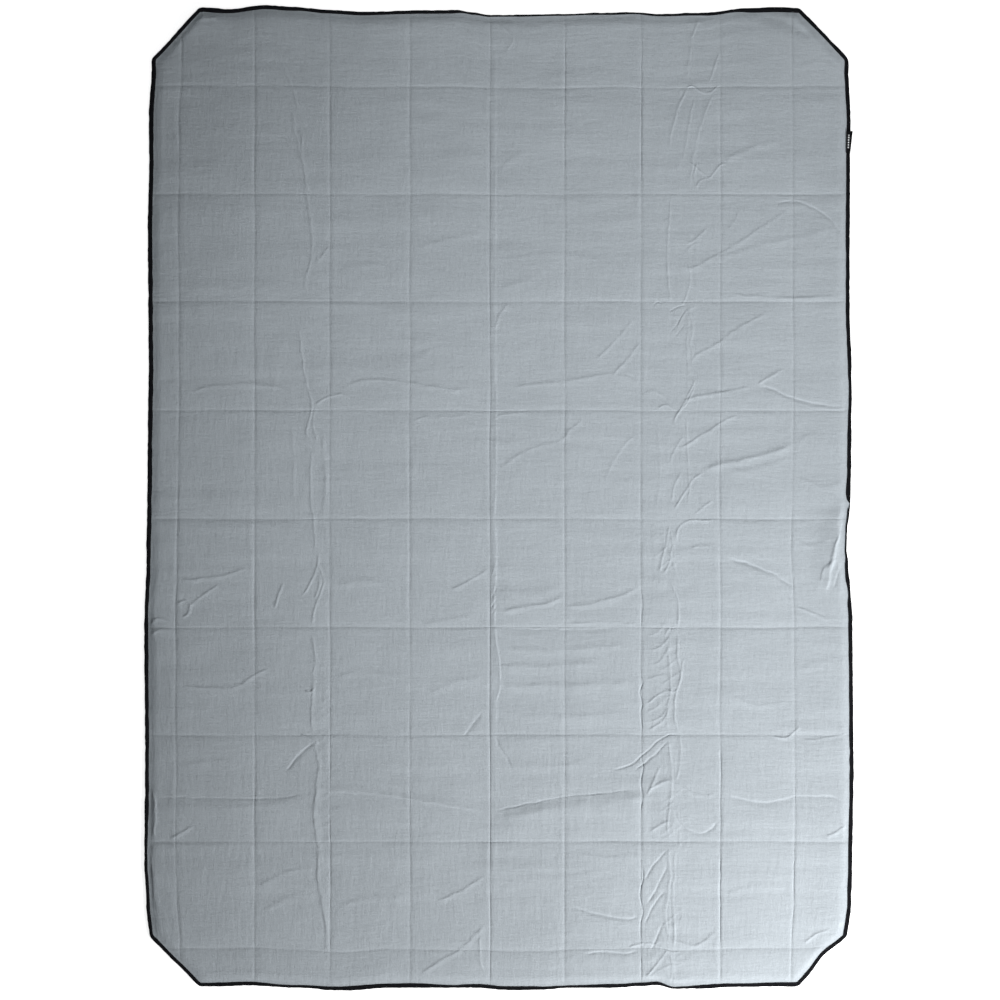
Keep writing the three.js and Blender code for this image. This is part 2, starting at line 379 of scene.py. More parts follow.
# Single wrinkles: (height in mm, width in mm, wider side's width in mm, panel points).
# A panel point is (panels from the left, panels from the head), so (5, 4) is where the
# middle crease meets the fourth one across. A minus height is a fold pressed in. The wider
# side is on the right hand, going from the first point to the last.
FOOT_HALF = [
    # Long folds right across.
    (-1.0, 1.2, 1.8, [(4.99, 7.72), (5.5, 7.65), (6.02, 7.58), (6.5, 7.55), (7.04, 7.51)]),
    (1.9, 11, 75, [(4.96, 7.82), (5.5, 7.75), (6.02, 7.67), (6.5, 7.64), (7.2, 7.58)]),
    (0.9, 2.4, 14, [(4.97, 7.72), (4.0, 7.59), (3.4, 7.53), (2.8, 7.52)]),
    (1.0, 8, 50, [(0.1, 7.67), (1.02, 7.66), (2.0, 7.67), (2.8, 7.6)]),
    (-0.7, 1.4, 3, [(0.1, 7.59), (1.02, 7.58), (2.0, 7.59), (2.47, 7.57), (2.8, 7.52)]),
    (-0.8, 1.6, 10, [(8.0, 7.54), (8.3, 7.61), (8.65, 7.63), (9.0, 7.58), (9.4, 7.57), (9.9, 7.61)]),
    (1.1, 5.0, 16, [(5.08, 6.56), (5.6, 6.545), (6.2, 6.545), (7.0, 6.5)]),
    (0.9, 5.5, 14, [(5.1, 6.37), (5.6, 6.37), (6.5, 6.33)]),
    (0.9, 5.0, 12, [(5.15, 6.2), (5.9, 6.22), (6.9, 6.16)]),
    (-0.7, 2.0, 13, [(5.05, 6.02), (6.0, 6.02), (7.0, 6.01)]),
    (0.6, 2.0, 5, [(6.0, 5.965), (6.5, 5.955), (7.0, 5.965)]),
    (0.7, 6, 30, [(5.0, 7.08), (6.0, 7.02), (7.0, 7.0)]),
    (1.1, 3.2, 9, [(5.15, 5.85), (5.55, 5.81), (5.8, 5.77), (6.0, 5.71)]),
    (1.0, 3.4, 10, [(6.02, 5.82), (6.46, 5.77), (6.73, 5.71), (7.0, 5.6)]),
    (0.8, 5.0, 12, [(5.1, 5.66), (5.5, 5.69), (5.95, 5.64)]),
    (0.5, 3.6, 14, [(5.1, 6.8), (5.9, 6.83), (6.95, 6.79)]),
    (0.5, 3.6, 14, [(5.1, 7.28), (5.6, 7.3), (6.4, 7.24)]),
    (0.5, 3.6, 12, [(6.1, 8.12), (6.6, 8.16), (7.0, 8.13)]),
    (0.5, 3.6, 14, [(5.3, 8.3), (5.9, 8.34), (6.6, 8.28)]),
    # Middle of the foot end.
    (-1.3, 1.8, 6, [(6.1, 8.6), (6.3, 8.66), (6.63, 8.71), (6.86, 8.73), (7.0, 8.69)]),
    (-1.0, 1.8, 5, [(6.25, 9.13), (6.46, 9.08), (6.75, 9.12), (7.0, 9.07)]),
    (0.8, 1.6, 4, [(6.85, 8.98), (7.05, 8.96)]),
    (0.7, 2.2, 8, [(4.3, 8.56), (4.6, 8.47), (4.97, 8.3)]),
    (0.7, 2.2, 8, [(4.12, 9.7), (4.4, 9.25), (4.62, 9.0), (4.97, 8.74)]),
    (0.6, 1.8, 4, [(4.86, 8.85), (4.88, 9.2), (4.92, 9.6)]),
    (-0.6, 2.0, 6, [(4.66, 7.02), (4.78, 6.92), (4.9, 6.78)]),
    (0.7, 2.0, 7, [(4.5, 5.65), (4.75, 5.57), (4.97, 5.46)]),
    (-0.6, 2.0, 5, [(5.05, 6.98), (5.2, 7.2), (5.3, 7.35)]),
    (0.5, 3.6, 12, [(4.1, 5.98), (4.5, 5.93), (4.9, 5.86)]),
    (0.5, 3.6, 12, [(4.2, 6.62), (4.6, 6.5), (4.95, 6.45)]),
    # Hatching beside the middle crease.
    (-0.6, 1.2, 2.5, [(5.01, 5.73), (5.05, 5.7), (5.08, 5.63)]),
    (-0.6, 1.2, 2.5, [(5.01, 5.83), (5.04, 5.79), (5.09, 5.74)]),
    (-0.5, 1.2, 2.5, [(5.02, 5.88), (5.06, 5.84), (5.09, 5.81)]),
    (0.5, 1.3, 2.5, [(5.02, 5.52), (5.05, 5.46), (5.07, 5.4)]),
    # Left side.
    (0.9, 2.0, 8, [(1.03, 5.57), (1.44, 5.54), (1.7, 5.5), (1.92, 5.45)]),
    (0.8, 1.8, 5, [(1.05, 5.93), (1.16, 5.87), (1.2, 5.78), (1.48, 5.63), (1.6, 5.6)]),
    (0.7, 1.6, 4, [(1.02, 5.78), (1.12, 5.75), (1.2, 5.8)]),
    (0.7, 1.8, 5, [(0.15, 5.98), (0.5, 5.92), (0.98, 5.95)]),
    (0.6, 2.0, 6, [(0.1, 6.1), (0.45, 6.02), (0.9, 6.03)]),
    (0.8, 1.8, 4, [(2.27, 5.83), (2.3, 5.72), (2.4, 5.58)]),
    (0.7, 2.2, 8, [(1.03, 6.54), (1.45, 6.56), (1.74, 6.55), (2.0, 6.44), (2.25, 6.37)]),
    (0.7, 2.0, 6, [(0.85, 7.97), (1.05, 7.93), (1.25, 7.84)]),
    (0.8, 2.0, 6, [(0.25, 7.5), (0.35, 7.75), (0.3, 7.98)]),
    (0.9, 2.2, 6, [(0.2, 8.1), (0.28, 8.3), (0.22, 8.6)]),
    (0.6, 3.6, 12, [(2.02, 8.42), (2.4, 8.3), (2.82, 8.22)]),
    (0.5, 3.6, 12, [(2.1, 8.65), (2.5, 8.52), (2.85, 8.5)]),
    (-0.8, 1.7, 5, [(2.4, 7.33), (2.62, 7.16), (2.8, 7.06)]),
    (1.0, 1.8, 4, [(2.6, 6.99), (2.74, 7.04), (2.86, 7.08)]),
    (0.6, 3.6, 14, [(1.05, 7.28), (1.5, 7.24), (1.95, 7.27)]),
    (0.6, 3.6, 12, [(3.05, 6.45), (3.5, 6.42), (3.95, 6.46)]),
    (0.5, 3.6, 12, [(3.05, 5.62), (3.5, 5.58), (3.9, 5.62)]),
    (0.5, 3.6, 12, [(3.1, 8.6), (3.5, 8.52), (3.95, 8.55)]),
]

RIGHT_SIDE = [
    # Foot half.
    (-1.1, 1.3, 3, [(6.6, 7.34), (6.86, 7.28), (7.0, 7.2), (7.18, 7.07), (7.33, 7.0), (7.5, 7.01)]),
    (-0.9, 1.4, 3, [(6.9, 7.34), (7.02, 7.27), (7.2, 7.16), (7.34, 7.05)]),
    (0.7, 1.4, 5, [(7.08, 6.96), (7.2, 6.91), (7.3, 6.83), (7.36, 6.72)]),
    (0.5, 1.3, 3, [(7.12, 6.88), (7.26, 6.82), (7.33, 6.74)]),
    (0.8, 1.4, 4, [(7.05, 6.72), (7.12, 6.69), (7.17, 6.65), (7.3, 6.59), (7.44, 6.59)]),
    (0.5, 1.4, 4, [(7.04, 6.79), (7.18, 6.75), (7.32, 6.65), (7.4, 6.62)]),
    (0.4, 1.5, 4, [(7.06, 6.49), (7.2, 6.45), (7.33, 6.44)]),
    (0.4, 1.5, 5, [(7.05, 6.34), (7.2, 6.33), (7.3, 6.26), (7.36, 6.16)]),
    (0.5, 1.5, 4, [(7.1, 6.22), (7.26, 6.17), (7.35, 6.07)]),
    (0.4, 1.5, 4, [(7.08, 6.08), (7.2, 6.04), (7.3, 5.96)]),
    (0.6, 1.4, 3, [(7.28, 6.08), (7.34, 6.01), (7.38, 6.02), (7.42, 5.97)]),
    (-0.8, 1.2, 2.5, [(7.36, 6.04), (7.39, 6.0), (7.42, 6.01)]),
    (0.6, 1.4, 3, [(7.36, 6.58), (7.42, 6.59), (7.47, 6.57)]),
    (0.8, 1.8, 5, [(7.08, 7.52), (7.2, 7.46), (7.33, 7.43), (7.42, 7.45)]),
    (0.8, 1.6, 5, [(7.06, 7.58), (7.15, 7.43), (7.25, 7.28)]),
    (0.6, 2.0, 7, [(7.39, 7.44), (7.55, 7.5), (7.75, 7.57), (7.95, 7.55)]),
    (-0.8, 1.6, 6, [(7.4, 7.72), (7.56, 7.87), (7.75, 7.92), (7.9, 7.87), (7.98, 7.78)]),
    (0.6, 1.8, 5, [(7.1, 7.92), (7.25, 7.84), (7.36, 7.8)]),
    (0.8, 1.6, 6, [(7.33, 8.86), (7.5, 8.93), (7.7, 8.95), (7.88, 8.87), (7.98, 8.8)]),
    (-0.8, 1.6, 4, [(7.05, 8.36), (7.14, 8.24), (7.33, 8.08)]),
    (-0.8, 1.6, 4, [(7.07, 8.6), (7.18, 8.46), (7.33, 8.22)]),
    (-0.8, 1.6, 4, [(7.05, 8.79), (7.11, 8.67), (7.2, 8.55), (7.3, 8.46)]),
    (-0.8, 1.6, 4, [(7.12, 9.1), (7.22, 8.88), (7.28, 8.74)]),
    (0.8, 1.6, 4, [(7.05, 9.8), (7.2, 9.45), (7.35, 9.0)]),
    (0.7, 1.6, 4, [(7.02, 8.98), (7.14, 8.96), (7.3, 9.04), (7.5, 9.03)]),
    (0.9, 1.6, 5, [(8.7, 7.01), (8.88, 7.02), (9.0, 6.96), (9.1, 6.91)]),
    (0.5, 1.8, 5, [(9.05, 7.04), (9.5, 7.03), (9.95, 6.97)]),
    (0.8, 1.8, 6, [(9.5, 7.95), (9.8, 7.88), (9.95, 7.79)]),
    (0.7, 2.0, 5, [(9.2, 8.96), (9.45, 8.86), (9.7, 8.82)]),
    (0.5, 3.6, 12, [(8.1, 6.62), (8.5, 6.72), (8.95, 6.68)]),
    (0.5, 3.6, 12, [(8.05, 8.5), (8.5, 8.42), (8.9, 8.44)]),
    (0.5, 3.6, 12, [(9.05, 6.4), (9.5, 6.32), (9.95, 6.34)]),
    (0.5, 3.6, 12, [(7.7, 6.55), (7.85, 6.7), (7.98, 6.95)]),
    # Along the seventh crease.
    (-0.9, 1.2, 2.5, [(6.99, 6.44), (7.01, 6.52), (6.98, 6.6), (7.01, 6.72), (6.99, 6.8), (7.01, 6.97)]),
    (-0.7, 1.2, 2.5, [(7.0, 5.66), (7.01, 5.78), (6.995, 5.9), (7.0, 6.0)]),
    (-0.9, 1.2, 2.5, [(7.0, 7.2), (7.01, 7.32), (6.99, 7.45), (7.01, 7.58), (6.99, 7.72)]),
    (-0.9, 1.2, 2.5, [(7.01, 8.2), (7.03, 8.35), (6.99, 8.5), (7.02, 8.64), (7.0, 8.8), (7.0, 8.95)]),
    (-0.5, 1.2, 2.5, [(7.0, 9.2), (7.01, 9.5), (7.0, 9.85)]),
    (-0.5, 1.2, 2, [(7.0, 0.2), (7.0, 1.0), (7.0, 2.0)]),
    (-0.45, 1.2, 2, [(8.0, 7.05), (8.0, 7.5), (8.0, 7.98)]),
    (-0.5, 1.2, 2, [(8.0, 8.05), (8.0, 8.5), (8.0, 8.98)]),
    (-0.4, 1.2, 2, [(9.0, 8.05), (9.0, 8.5), (9.0, 8.98)]),
    (-0.4, 1.2, 2, [(6.0, 0.2), (6.0, 1.0), (6.0, 2.0)]),
    # Around the pinch, below the fourth crease.
    (1.0, 1.3, 2.2, [(7.41, 4.13), (7.46, 4.03), (7.55, 3.92), (7.61, 3.82), (7.68, 3.7)]),
    (0.8, 1.3, 2.0, [(7.5, 4.0), (7.6, 3.9), (7.66, 3.78), (7.66, 3.7)]),
    (0.6, 1.4, 2.5, [(7.2, 3.98), (7.33, 3.95), (7.45, 4.0)]),
    (0.8, 1.4, 2.2, [(7.57, 4.03), (7.58, 4.25), (7.61, 4.6), (7.6, 4.9)]),
    (0.9, 1.9, 7, [(7.49, 4.36), (7.65, 4.28), (7.96, 4.14), (8.1, 4.08), (8.25, 4.04)]),
    (1.4, 5.0, 13, [(7.78, 4.58), (7.95, 4.51), (8.3, 4.46), (8.8, 4.37), (9.02, 4.3)]),
    (0.7, 5, 16, [(8.1, 4.56), (8.4, 4.55), (8.8, 4.47), (9.0, 4.44)]),
    (0.9, 1.5, 3, [(7.42, 4.93), (7.5, 4.82), (7.6, 4.7), (7.7, 4.62), (7.82, 4.56)]),
    (0.6, 1.6, 3, [(7.38, 4.85), (7.44, 4.68), (7.52, 4.55)]),
    (0.5, 1.8, 4, [(7.36, 4.5), (7.44, 4.35), (7.55, 4.22)]),
    (0.6, 1.6, 4, [(7.68, 4.96), (7.8, 4.88), (7.93, 4.83)]),
    (0.8, 1.6, 4, [(7.44, 5.22), (7.47, 5.09), (7.56, 5.03), (7.7, 5.01), (7.95, 5.03)]),
    (0.9, 1.6, 3, [(7.24, 5.5), (7.27, 5.36), (7.33, 5.2), (7.36, 5.03)]),
    (0.7, 1.6, 3, [(7.28, 5.52), (7.36, 5.4), (7.4, 5.24), (7.38, 5.05)]),
    (0.7, 1.6, 3, [(7.36, 5.28), (7.42, 5.42), (7.45, 5.56)]),
    (0.5, 1.8, 4, [(7.62, 5.28), (7.75, 5.25), (7.9, 5.27)]),
    (-1.2, 2.0, 6, [(8.1, 5.36), (8.34, 5.4), (8.62, 5.47), (8.82, 5.54), (9.04, 5.64)]),
    (0.8, 1.8, 5, [(9.06, 5.82), (9.38, 5.89), (9.6, 5.95)]),
    (1.5, 2.4, 12, [(9.6, 5.5), (9.72, 5.36), (9.84, 5.18), (9.92, 4.97)]),
    (2.6, 3, 38, [(9.95, 4.8), (9.84, 5.15), (9.7, 5.42), (9.55, 5.7)]),
    (0.8, 1.8, 5, [(9.45, 5.6), (9.6, 5.44), (9.85, 5.35)]),
    (-0.7, 1.8, 5, [(9.7, 5.65), (9.82, 5.5), (9.9, 5.4)]),
    (0.5, 3.6, 14, [(9.05, 4.62), (9.5, 4.7), (9.9, 4.66)]),
    (0.5, 3.6, 14, [(9.05, 5.2), (9.35, 5.24), (9.7, 5.2)]),
    (0.5, 3.6, 14, [(9.05, 4.3), (9.3, 4.22), (9.6, 4.25)]),
    # Head half.
    (1.0, 2.4, 9, [(7.5, 3.93), (7.7, 3.87), (8.1, 3.82), (8.48, 3.77)]),
    (-1.0, 1.8, 5, [(8.48, 3.77), (8.75, 3.82), (9.0, 3.89), (9.4, 3.94), (9.95, 3.98)]),
    (0.8, 1.8, 4, [(8.5, 3.77), (8.68, 3.69), (8.89, 3.62)]),
    (0.6, 1.9, 7, [(7.58, 3.6), (7.71, 3.48), (7.95, 3.39), (8.4, 3.18), (8.7, 3.1)]),
    (0.5, 1.4, 3, [(7.45, 3.24), (7.56, 3.1), (7.7, 3.03)]),
    (-0.7, 1.3, 2, [(7.35, 3.09), (7.46, 3.05), (7.58, 3.04)]),
    (-0.6, 1.3, 2, [(7.37, 3.28), (7.47, 3.18), (7.57, 3.08)]),
    (-0.5, 1.3, 2, [(7.43, 3.32), (7.55, 3.2)]),
    (-0.6, 1.3, 2.5, [(7.15, 3.03), (7.2, 3.0), (7.27, 3.01)]),
    (0.7, 1.4, 2.5, [(7.61, 3.07), (7.65, 3.25), (7.63, 3.4), (7.65, 3.55)]),
    (1.0, 1.3, 3, [(7.39, 1.98), (7.35, 2.2), (7.33, 2.5), (7.34, 2.75), (7.37, 3.05)]),
    (0.5, 1.5, 4, [(7.55, 2.47), (7.66, 2.42), (7.75, 2.37), (7.84, 2.3)]),
    (0.4, 1.5, 4, [(7.55, 2.56), (7.62, 2.48), (7.7, 2.45)]),
    (0.4, 1.8, 5, [(8.1, 2.34), (8.19, 2.25), (8.25, 2.14)]),
    (0.55, 1.9, 7, [(7.5, 2.6), (7.6, 2.69), (7.95, 2.57), (8.44, 2.36), (8.82, 2.19), (9.0, 2.1)]),
    (-0.8, 1.8, 5, [(8.7, 2.08), (9.0, 2.06), (9.3, 2.11), (9.65, 2.23), (9.92, 2.43)]),
    (0.6, 3.6, 12, [(7.8, 2.63), (8.14, 2.56), (8.62, 2.46), (9.04, 2.41), (9.82, 2.31)]),
    (0.6, 2.0, 9, [(8.0, 2.93), (8.48, 2.95), (9.0, 2.97), (9.9, 2.94)]),
    (0.7, 1.5, 4, [(7.72, 0.07), (7.63, 0.43), (7.58, 0.92)]),
    (0.8, 1.6, 4, [(7.98, 0.55), (7.9, 0.8), (7.84, 0.95)]),
    (0.9, 1.4, 4, [(7.58, 0.99), (7.49, 1.16), (7.39, 1.38), (7.36, 1.6)]),
    (0.6, 1.6, 5, [(7.93, 1.03), (7.81, 1.25), (7.68, 1.58), (7.6, 1.95)]),
    (0.7, 1.4, 3, [(8.1, 1.7), (7.98, 1.74), (7.87, 1.84), (7.74, 1.88), (7.67, 1.97)]),
    (0.8, 1.4, 3, [(7.54, 1.02), (7.63, 0.97), (7.74, 1.03), (7.86, 1.05), (7.99, 0.97)]),
    (0.6, 1.4, 3, [(7.68, 1.05), (7.62, 1.3), (7.5, 1.75)]),
    (0.8, 1.4, 2.5, [(7.7, 1.7), (7.66, 1.84), (7.7, 1.96)]),
    (0.9, 1.4, 3, [(7.6, 1.7), (7.72, 1.78), (7.82, 1.84)]),
    (0.6, 3.6, 12, [(8.0, 1.7), (8.3, 1.6), (8.55, 1.54), (8.85, 1.5)]),
    (0.7, 1.4, 2.5, [(7.58, 2.62), (7.62, 2.77), (7.57, 2.94), (7.5, 3.07)]),
    (-1.3, 11, 16, [(8.45, 0.1), (8.8, 0.17), (9.1, 0.28), (9.35, 0.42)]),
    (0.5, 3.6, 12, [(9.1, 0.75), (9.5, 0.7), (9.8, 0.75)]),
]

HEAD_HALF = [
    (0.72, 1.9, 9, [
        (3.14, 3.79), (3.35, 3.74), (3.6, 3.71), (3.98, 3.74), (4.4, 3.79), (4.7, 3.8), (4.82, 3.76),
    ]),
    (0.64, 1.7, 4, [(2.8, 3.96), (2.94, 3.88), (3.18, 3.84)]),
    (0.56, 1.9, 6, [(4.0, 4.11), (4.25, 4.06), (4.75, 4.05)]),
    (0.56, 2.4, 8, [(1.02, 3.84), (1.48, 3.78), (2.0, 3.76), (2.4, 3.81), (2.68, 3.92)]),
    (0.56, 2.4, 9, [(5.1, 4.56), (5.27, 4.46), (5.6, 4.35), (5.95, 4.28), (6.07, 4.18), (6.3, 4.05)]),
    (0.64, 2.2, 8, [(5.2, 3.78), (5.6, 3.76), (6.0, 3.73), (6.6, 3.67), (6.86, 3.71), (7.02, 3.78)]),
    (0.48, 1.8, 5, [(7.02, 3.83), (7.2, 3.82), (7.38, 3.92)]),
    (0.56, 1.8, 5, [(6.62, 3.69), (6.86, 3.5), (7.0, 3.36)]),
    (0.48, 1.8, 5, [(6.38, 3.56), (6.65, 3.38), (6.93, 3.14)]),
    (0.48, 3.6, 12, [(5.15, 2.88), (5.35, 2.82), (5.62, 2.79)]),
    (0.48, 1.8, 5, [(5.06, 3.25), (5.15, 3.1), (5.27, 3.01)]),
    (0.48, 1.8, 5, [(5.04, 4.08), (5.2, 4.03), (5.5, 4.02)]),
    (0.4, 3.6, 12, [(5.1, 1.82), (5.3, 1.66), (5.5, 1.6)]),
    (0.4, 3.6, 12, [(5.2, 2.6), (5.8, 2.55), (6.6, 2.62)]),
    (0.4, 3.6, 12, [(3.1, 2.72), (3.5, 2.66), (3.95, 2.7)]),
    (0.4, 3.6, 12, [(4.05, 2.5), (4.5, 2.42), (4.9, 2.36)]),
    (0.4, 3.6, 12, [(1.05, 2.9), (1.5, 2.88), (1.9, 2.91)]),
    (0.4, 3.6, 12, [(4.05, 3.5), (4.4, 3.42), (4.9, 3.4)]),
    (0.64, 1.6, 4, [(0.95, 0.3), (1.2, 0.17), (1.5, 0.12)]),
    (0.4, 1.8, 5, [(5.15, 0.15), (5.3, 0.3), (5.2, 0.55)]),
    (0.4, 1.8, 4, [(2.78, 2.66), (2.88, 2.58), (3.0, 2.48)]),
    (0.4, 1.8, 4, [(2.88, 2.06), (3.0, 2.2)]),
    (0.4, 1.8, 5, [(6.95, 4.2), (6.7, 4.4), (6.5, 4.7)]),
]

# The soft bands where the sides fold over the middle: ridges that run along the blanket.
LEFT_BAND = [
    (0.9, 1.8, 10, [
        (2.97, 9.2), (2.93, 8.7), (2.84, 8.35), (2.84, 8.05), (2.79, 7.75), (2.84, 7.3), (2.76, 7.0),
    ]),
    (0.8, 1.6, 6, [(2.76, 7.0), (2.76, 6.6), (2.79, 6.3), (2.76, 6.0)]),
    (0.7, 1.4, 3, [(2.68, 6.58), (2.74, 6.6), (2.79, 6.56)]),
    (0.8, 1.5, 4, [(2.76, 6.0), (2.79, 5.85), (2.91, 5.62), (2.86, 5.46), (2.78, 5.36)]),
    (0.8, 1.5, 4, [(2.62, 5.72), (2.72, 5.62), (2.8, 5.5), (2.87, 5.3)]),
    (0.6, 1.5, 4, [(2.81, 5.74), (2.86, 5.62), (2.86, 5.5)]),
    (0.7, 1.5, 5, [(2.8, 5.36), (2.8, 5.15), (2.76, 4.87), (2.74, 4.6), (2.77, 4.31)]),
    (0.8, 1.5, 4, [(2.77, 4.31), (2.69, 4.18), (2.76, 3.97), (2.69, 3.76), (2.63, 3.5), (2.6, 3.2)]),
    (0.6, 1.5, 4, [(2.84, 4.3), (2.78, 4.12), (2.82, 3.96)]),
    (0.6, 1.6, 6, [(2.76, 3.0), (2.68, 2.84), (2.76, 2.5), (2.7, 2.09), (2.63, 1.62), (2.6, 1.25)]),
    (0.5, 1.6, 5, [(2.6, 1.25), (2.47, 0.96), (2.3, 0.6)]),
    (0.5, 1.8, 5, [(2.5, 1.2), (2.56, 1.5), (2.68, 1.75)]),
    (0.4, 2.0, 6, [(2.9, 5.0), (2.94, 4.6), (2.9, 4.2)]),
    (0.4, 2.0, 6, [(2.5, 4.9), (2.52, 4.4), (2.48, 4.1)]),
]
RIGHT_BAND = [
    (1.1, 1.5, 3, [(7.47, 7.02), (7.42, 6.8), (7.45, 6.6), (7.5, 6.45), (7.46, 6.25), (7.46, 6.0)]),
    (1.0, 1.5, 3, [(7.46, 6.0), (7.47, 5.85), (7.44, 5.7), (7.37, 5.58)]),
    (0.8, 1.4, 2.5, [(7.54, 6.28), (7.5, 6.45), (7.46, 6.55)]),
    (0.7, 1.6, 4, [(7.33, 6.1), (7.36, 6.35), (7.38, 6.6), (7.33, 6.75), (7.33, 7.0)]),
    (0.8, 1.6, 4, [(7.33, 7.0), (7.37, 7.24), (7.39, 7.43), (7.36, 7.66), (7.33, 7.85), (7.37, 8.0)]),
    (0.7, 1.6, 4, [(7.48, 7.0), (7.5, 7.2), (7.44, 7.45)]),
    (0.7, 1.6, 5, [(7.35, 8.0), (7.36, 8.4), (7.3, 8.66), (7.36, 8.93)]),
    (0.6, 1.6, 4, [(7.45, 8.02), (7.42, 8.3), (7.4, 8.6), (7.44, 9.0)]),
    (0.5, 1.6, 4, [(7.36, 9.05), (7.4, 9.5), (7.36, 9.9)]),
    (0.5, 1.8, 5, [(7.6, 3.7), (7.58, 3.4), (7.62, 3.0)]),
    (0.4, 2.0, 6, [(7.2, 4.95), (7.24, 4.5), (7.2, 4.1)]),
    (0.4, 2.0, 6, [(7.72, 3.0), (7.68, 2.7), (7.7, 2.35)]),
]
WRINKLES = FOOT_HALF + RIGHT_SIDE + HEAD_HALF + LEFT_BAND + RIGHT_BAND
CRUMPLE = 1.7 * MM
CRUMPLE_CELL = 17 * MM
WRINKLE_END = 0.16  # the share of a wrinkle over which each end fades out


def add_ridge(total, x, y, height, width, wide, points):
    """Adds one wrinkle to the relief, fading out towards both of its ends."""
    across, along = np.array(points, float).T
    line = rounded_line(np.stack([crease_x(across), crease_y(along)], 1))
    margin = 3 * wide
    low = line.min(0) - margin
    high = line.max(0) + margin
    near = np.flatnonzero((x > low[0]) & (x < high[0]) & (y > low[1]) & (y < high[1]))
    if not len(near):
        return
    px, py = x[near], y[near]
    steps = np.diff(line, axis=0)
    lengths = np.hypot(*steps.T)
    starts = np.concatenate([[0], np.cumsum(lengths)[:-1]]) / lengths.sum()
    best = np.full(len(near), 1e9)
    side = np.zeros(len(near))
    place = np.zeros(len(near))
    for start, step, length, before in zip(line, steps, lengths, starts):
        rx, ry = px - start[0], py - start[1]
        share = np.clip((rx * step[0] + ry * step[1]) / length**2, 0, 1)
        away = np.hypot(rx - share * step[0], ry - share * step[1])
        closer = away < best
        best[closer] = away[closer]
        side[closer] = np.sign(step[0] * ry - step[1] * rx)[closer]
        place[closer] = (before + share * length / lengths.sum())[closer]
    fade = smooth(place / WRINKLE_END) * smooth((1 - place) / WRINKLE_END)
    fade *= 1 + 0.35 * lattice_noise(place * lengths.sum(), height / MM, 0.025, 1, 56)
    swelling = 0.7 + 0.3 * np.sin(np.pi * place)
    slope = np.maximum(1 - best / (wide * swelling), 0) ** 1.2
    total[near] += height * fade * np.where(side > 0, bell(best, width), slope)


def wrinkle_relief(x, y):
    """All the single wrinkles. The cloth crumples unevenly, so none of them is quite smooth."""
    total = np.zeros_like(x)
    crumpled_x = x + CRUMPLE * lattice_noise(x, y, CRUMPLE_CELL, CRUMPLE_CELL, 59)
    crumpled_y = y + CRUMPLE * lattice_noise(x, y, CRUMPLE_CELL, CRUMPLE_CELL, 60)
    for height, width, wide, points in WRINKLES:
        add_ridge(total, crumpled_x, crumpled_y, height * MM, width * MM, wide * MM, points)
    return total


def crinkle_relief(x, y):
    """Fine unevenness everywhere, with pinched crinkles in the bands where the sides fold."""
    even = 0.10 * MM * lattice_noise(x, y, 0.016, 0.05, 51)
    even = even + 0.08 * MM * lattice_noise(x, y, 0.05, 0.014, 52)
    slant = (x * 0.8 + y * 0.6, y * 0.8 - x * 0.6)
    pinch = 1 - np.abs(lattice_noise(slant[0], slant[1], 0.045, 0.011, 53))
    wander = 1 - np.abs(lattice_noise(x, y, 0.010, 0.07, 54))
    right = bell(x - (RIGHT_FOLD_X - 18 * MM), 34 * MM)
    left = bell(x - (LEFT_FOLD_X + 8 * MM), 26 * MM)
    patch = smooth(0.5 + lattice_noise(x, y, 0.12, 0.10, 55))
    lower = 0.35 + 0.65 * ramp(y, 0.25, -0.25)
    band = patch * lower * (right + 0.5 * left)
    return even + band * MM * (0.55 * pinch**4 + 0.45 * wander**4)


def face_relief(x, y):
    """The face cloth's shape above its flat height."""
    creased = crease_relief(x, y) + tuck_relief(x, y) + swell_relief(x, y)
    return LOFT + creased + wrinkle_relief(x, y) + crinkle_relief(x, y)


# ---------------------------------------------------------------- meshes


def cloth_edge(y, inset):
    """Half the width of the flat cut at y, for a cloth cut inset from the outline."""
    cut = CORNER_CUT - inset * (2 - math.sqrt(2))
    past = np.abs(y) - (HALF_LENGTH - inset - cut)
    return HALF_WIDTH - inset - np.maximum(past, 0)


# Grid lines lie this far either side of each crease.
LINES_BY_CREASE = np.array([-5.6, -1.6, 0, 1.6, 5.6]) * MM
GRID_FINER = 4  # steps in each cell of the base grid
JOIN_DISTANCE = 0.01 * MM


def grid_lines(low, high, creases, cell):
    """Grid lines from low to high: close together at each crease, even between them."""
    lines = [low, high]
    for crease in creases:
        lines += [c for c in crease + LINES_BY_CREASE if low + MM < c < high - MM]
    lines = sorted(lines)
    filled = [low]
    for a, b in zip(lines, lines[1:]):
        count = max(1, round((b - a) / cell))
        filled += [a + (b - a) * (k + 1) / count for k in range(count)]
    return np.array(filled)


def grown(mask):
    """A mask with every neighbour of its cells added."""
    wider = np.pad(mask, 1)
    columns, rows = mask.shape
    return np.any([wider[i:i + columns, j:j + rows] for i in range(3) for j in range(3)], axis=0)


def misfit(heights, step):
    """How far a surface lies from flat cells of a grid of every step-th point."""
    half = step // 2
    corners = heights[::step, ::step]
    on_column = heights[half::step, ::step] - (corners[:-1] + corners[1:]) / 2
    on_row = heights[::step, half::step] - (corners[:, :-1] + corners[:, 1:]) / 2
    middle = heights[half::step, half::step]
    middle = middle - (corners[:-1, :-1] + corners[1:, 1:]) / 2
    worst = np.maximum(np.abs(on_column[:, :-1]), np.abs(on_column[:, 1:]))
    worst = np.maximum(worst, np.maximum(np.abs(on_row[:-1]), np.abs(on_row[1:])))
    return np.maximum(worst, np.abs(middle))


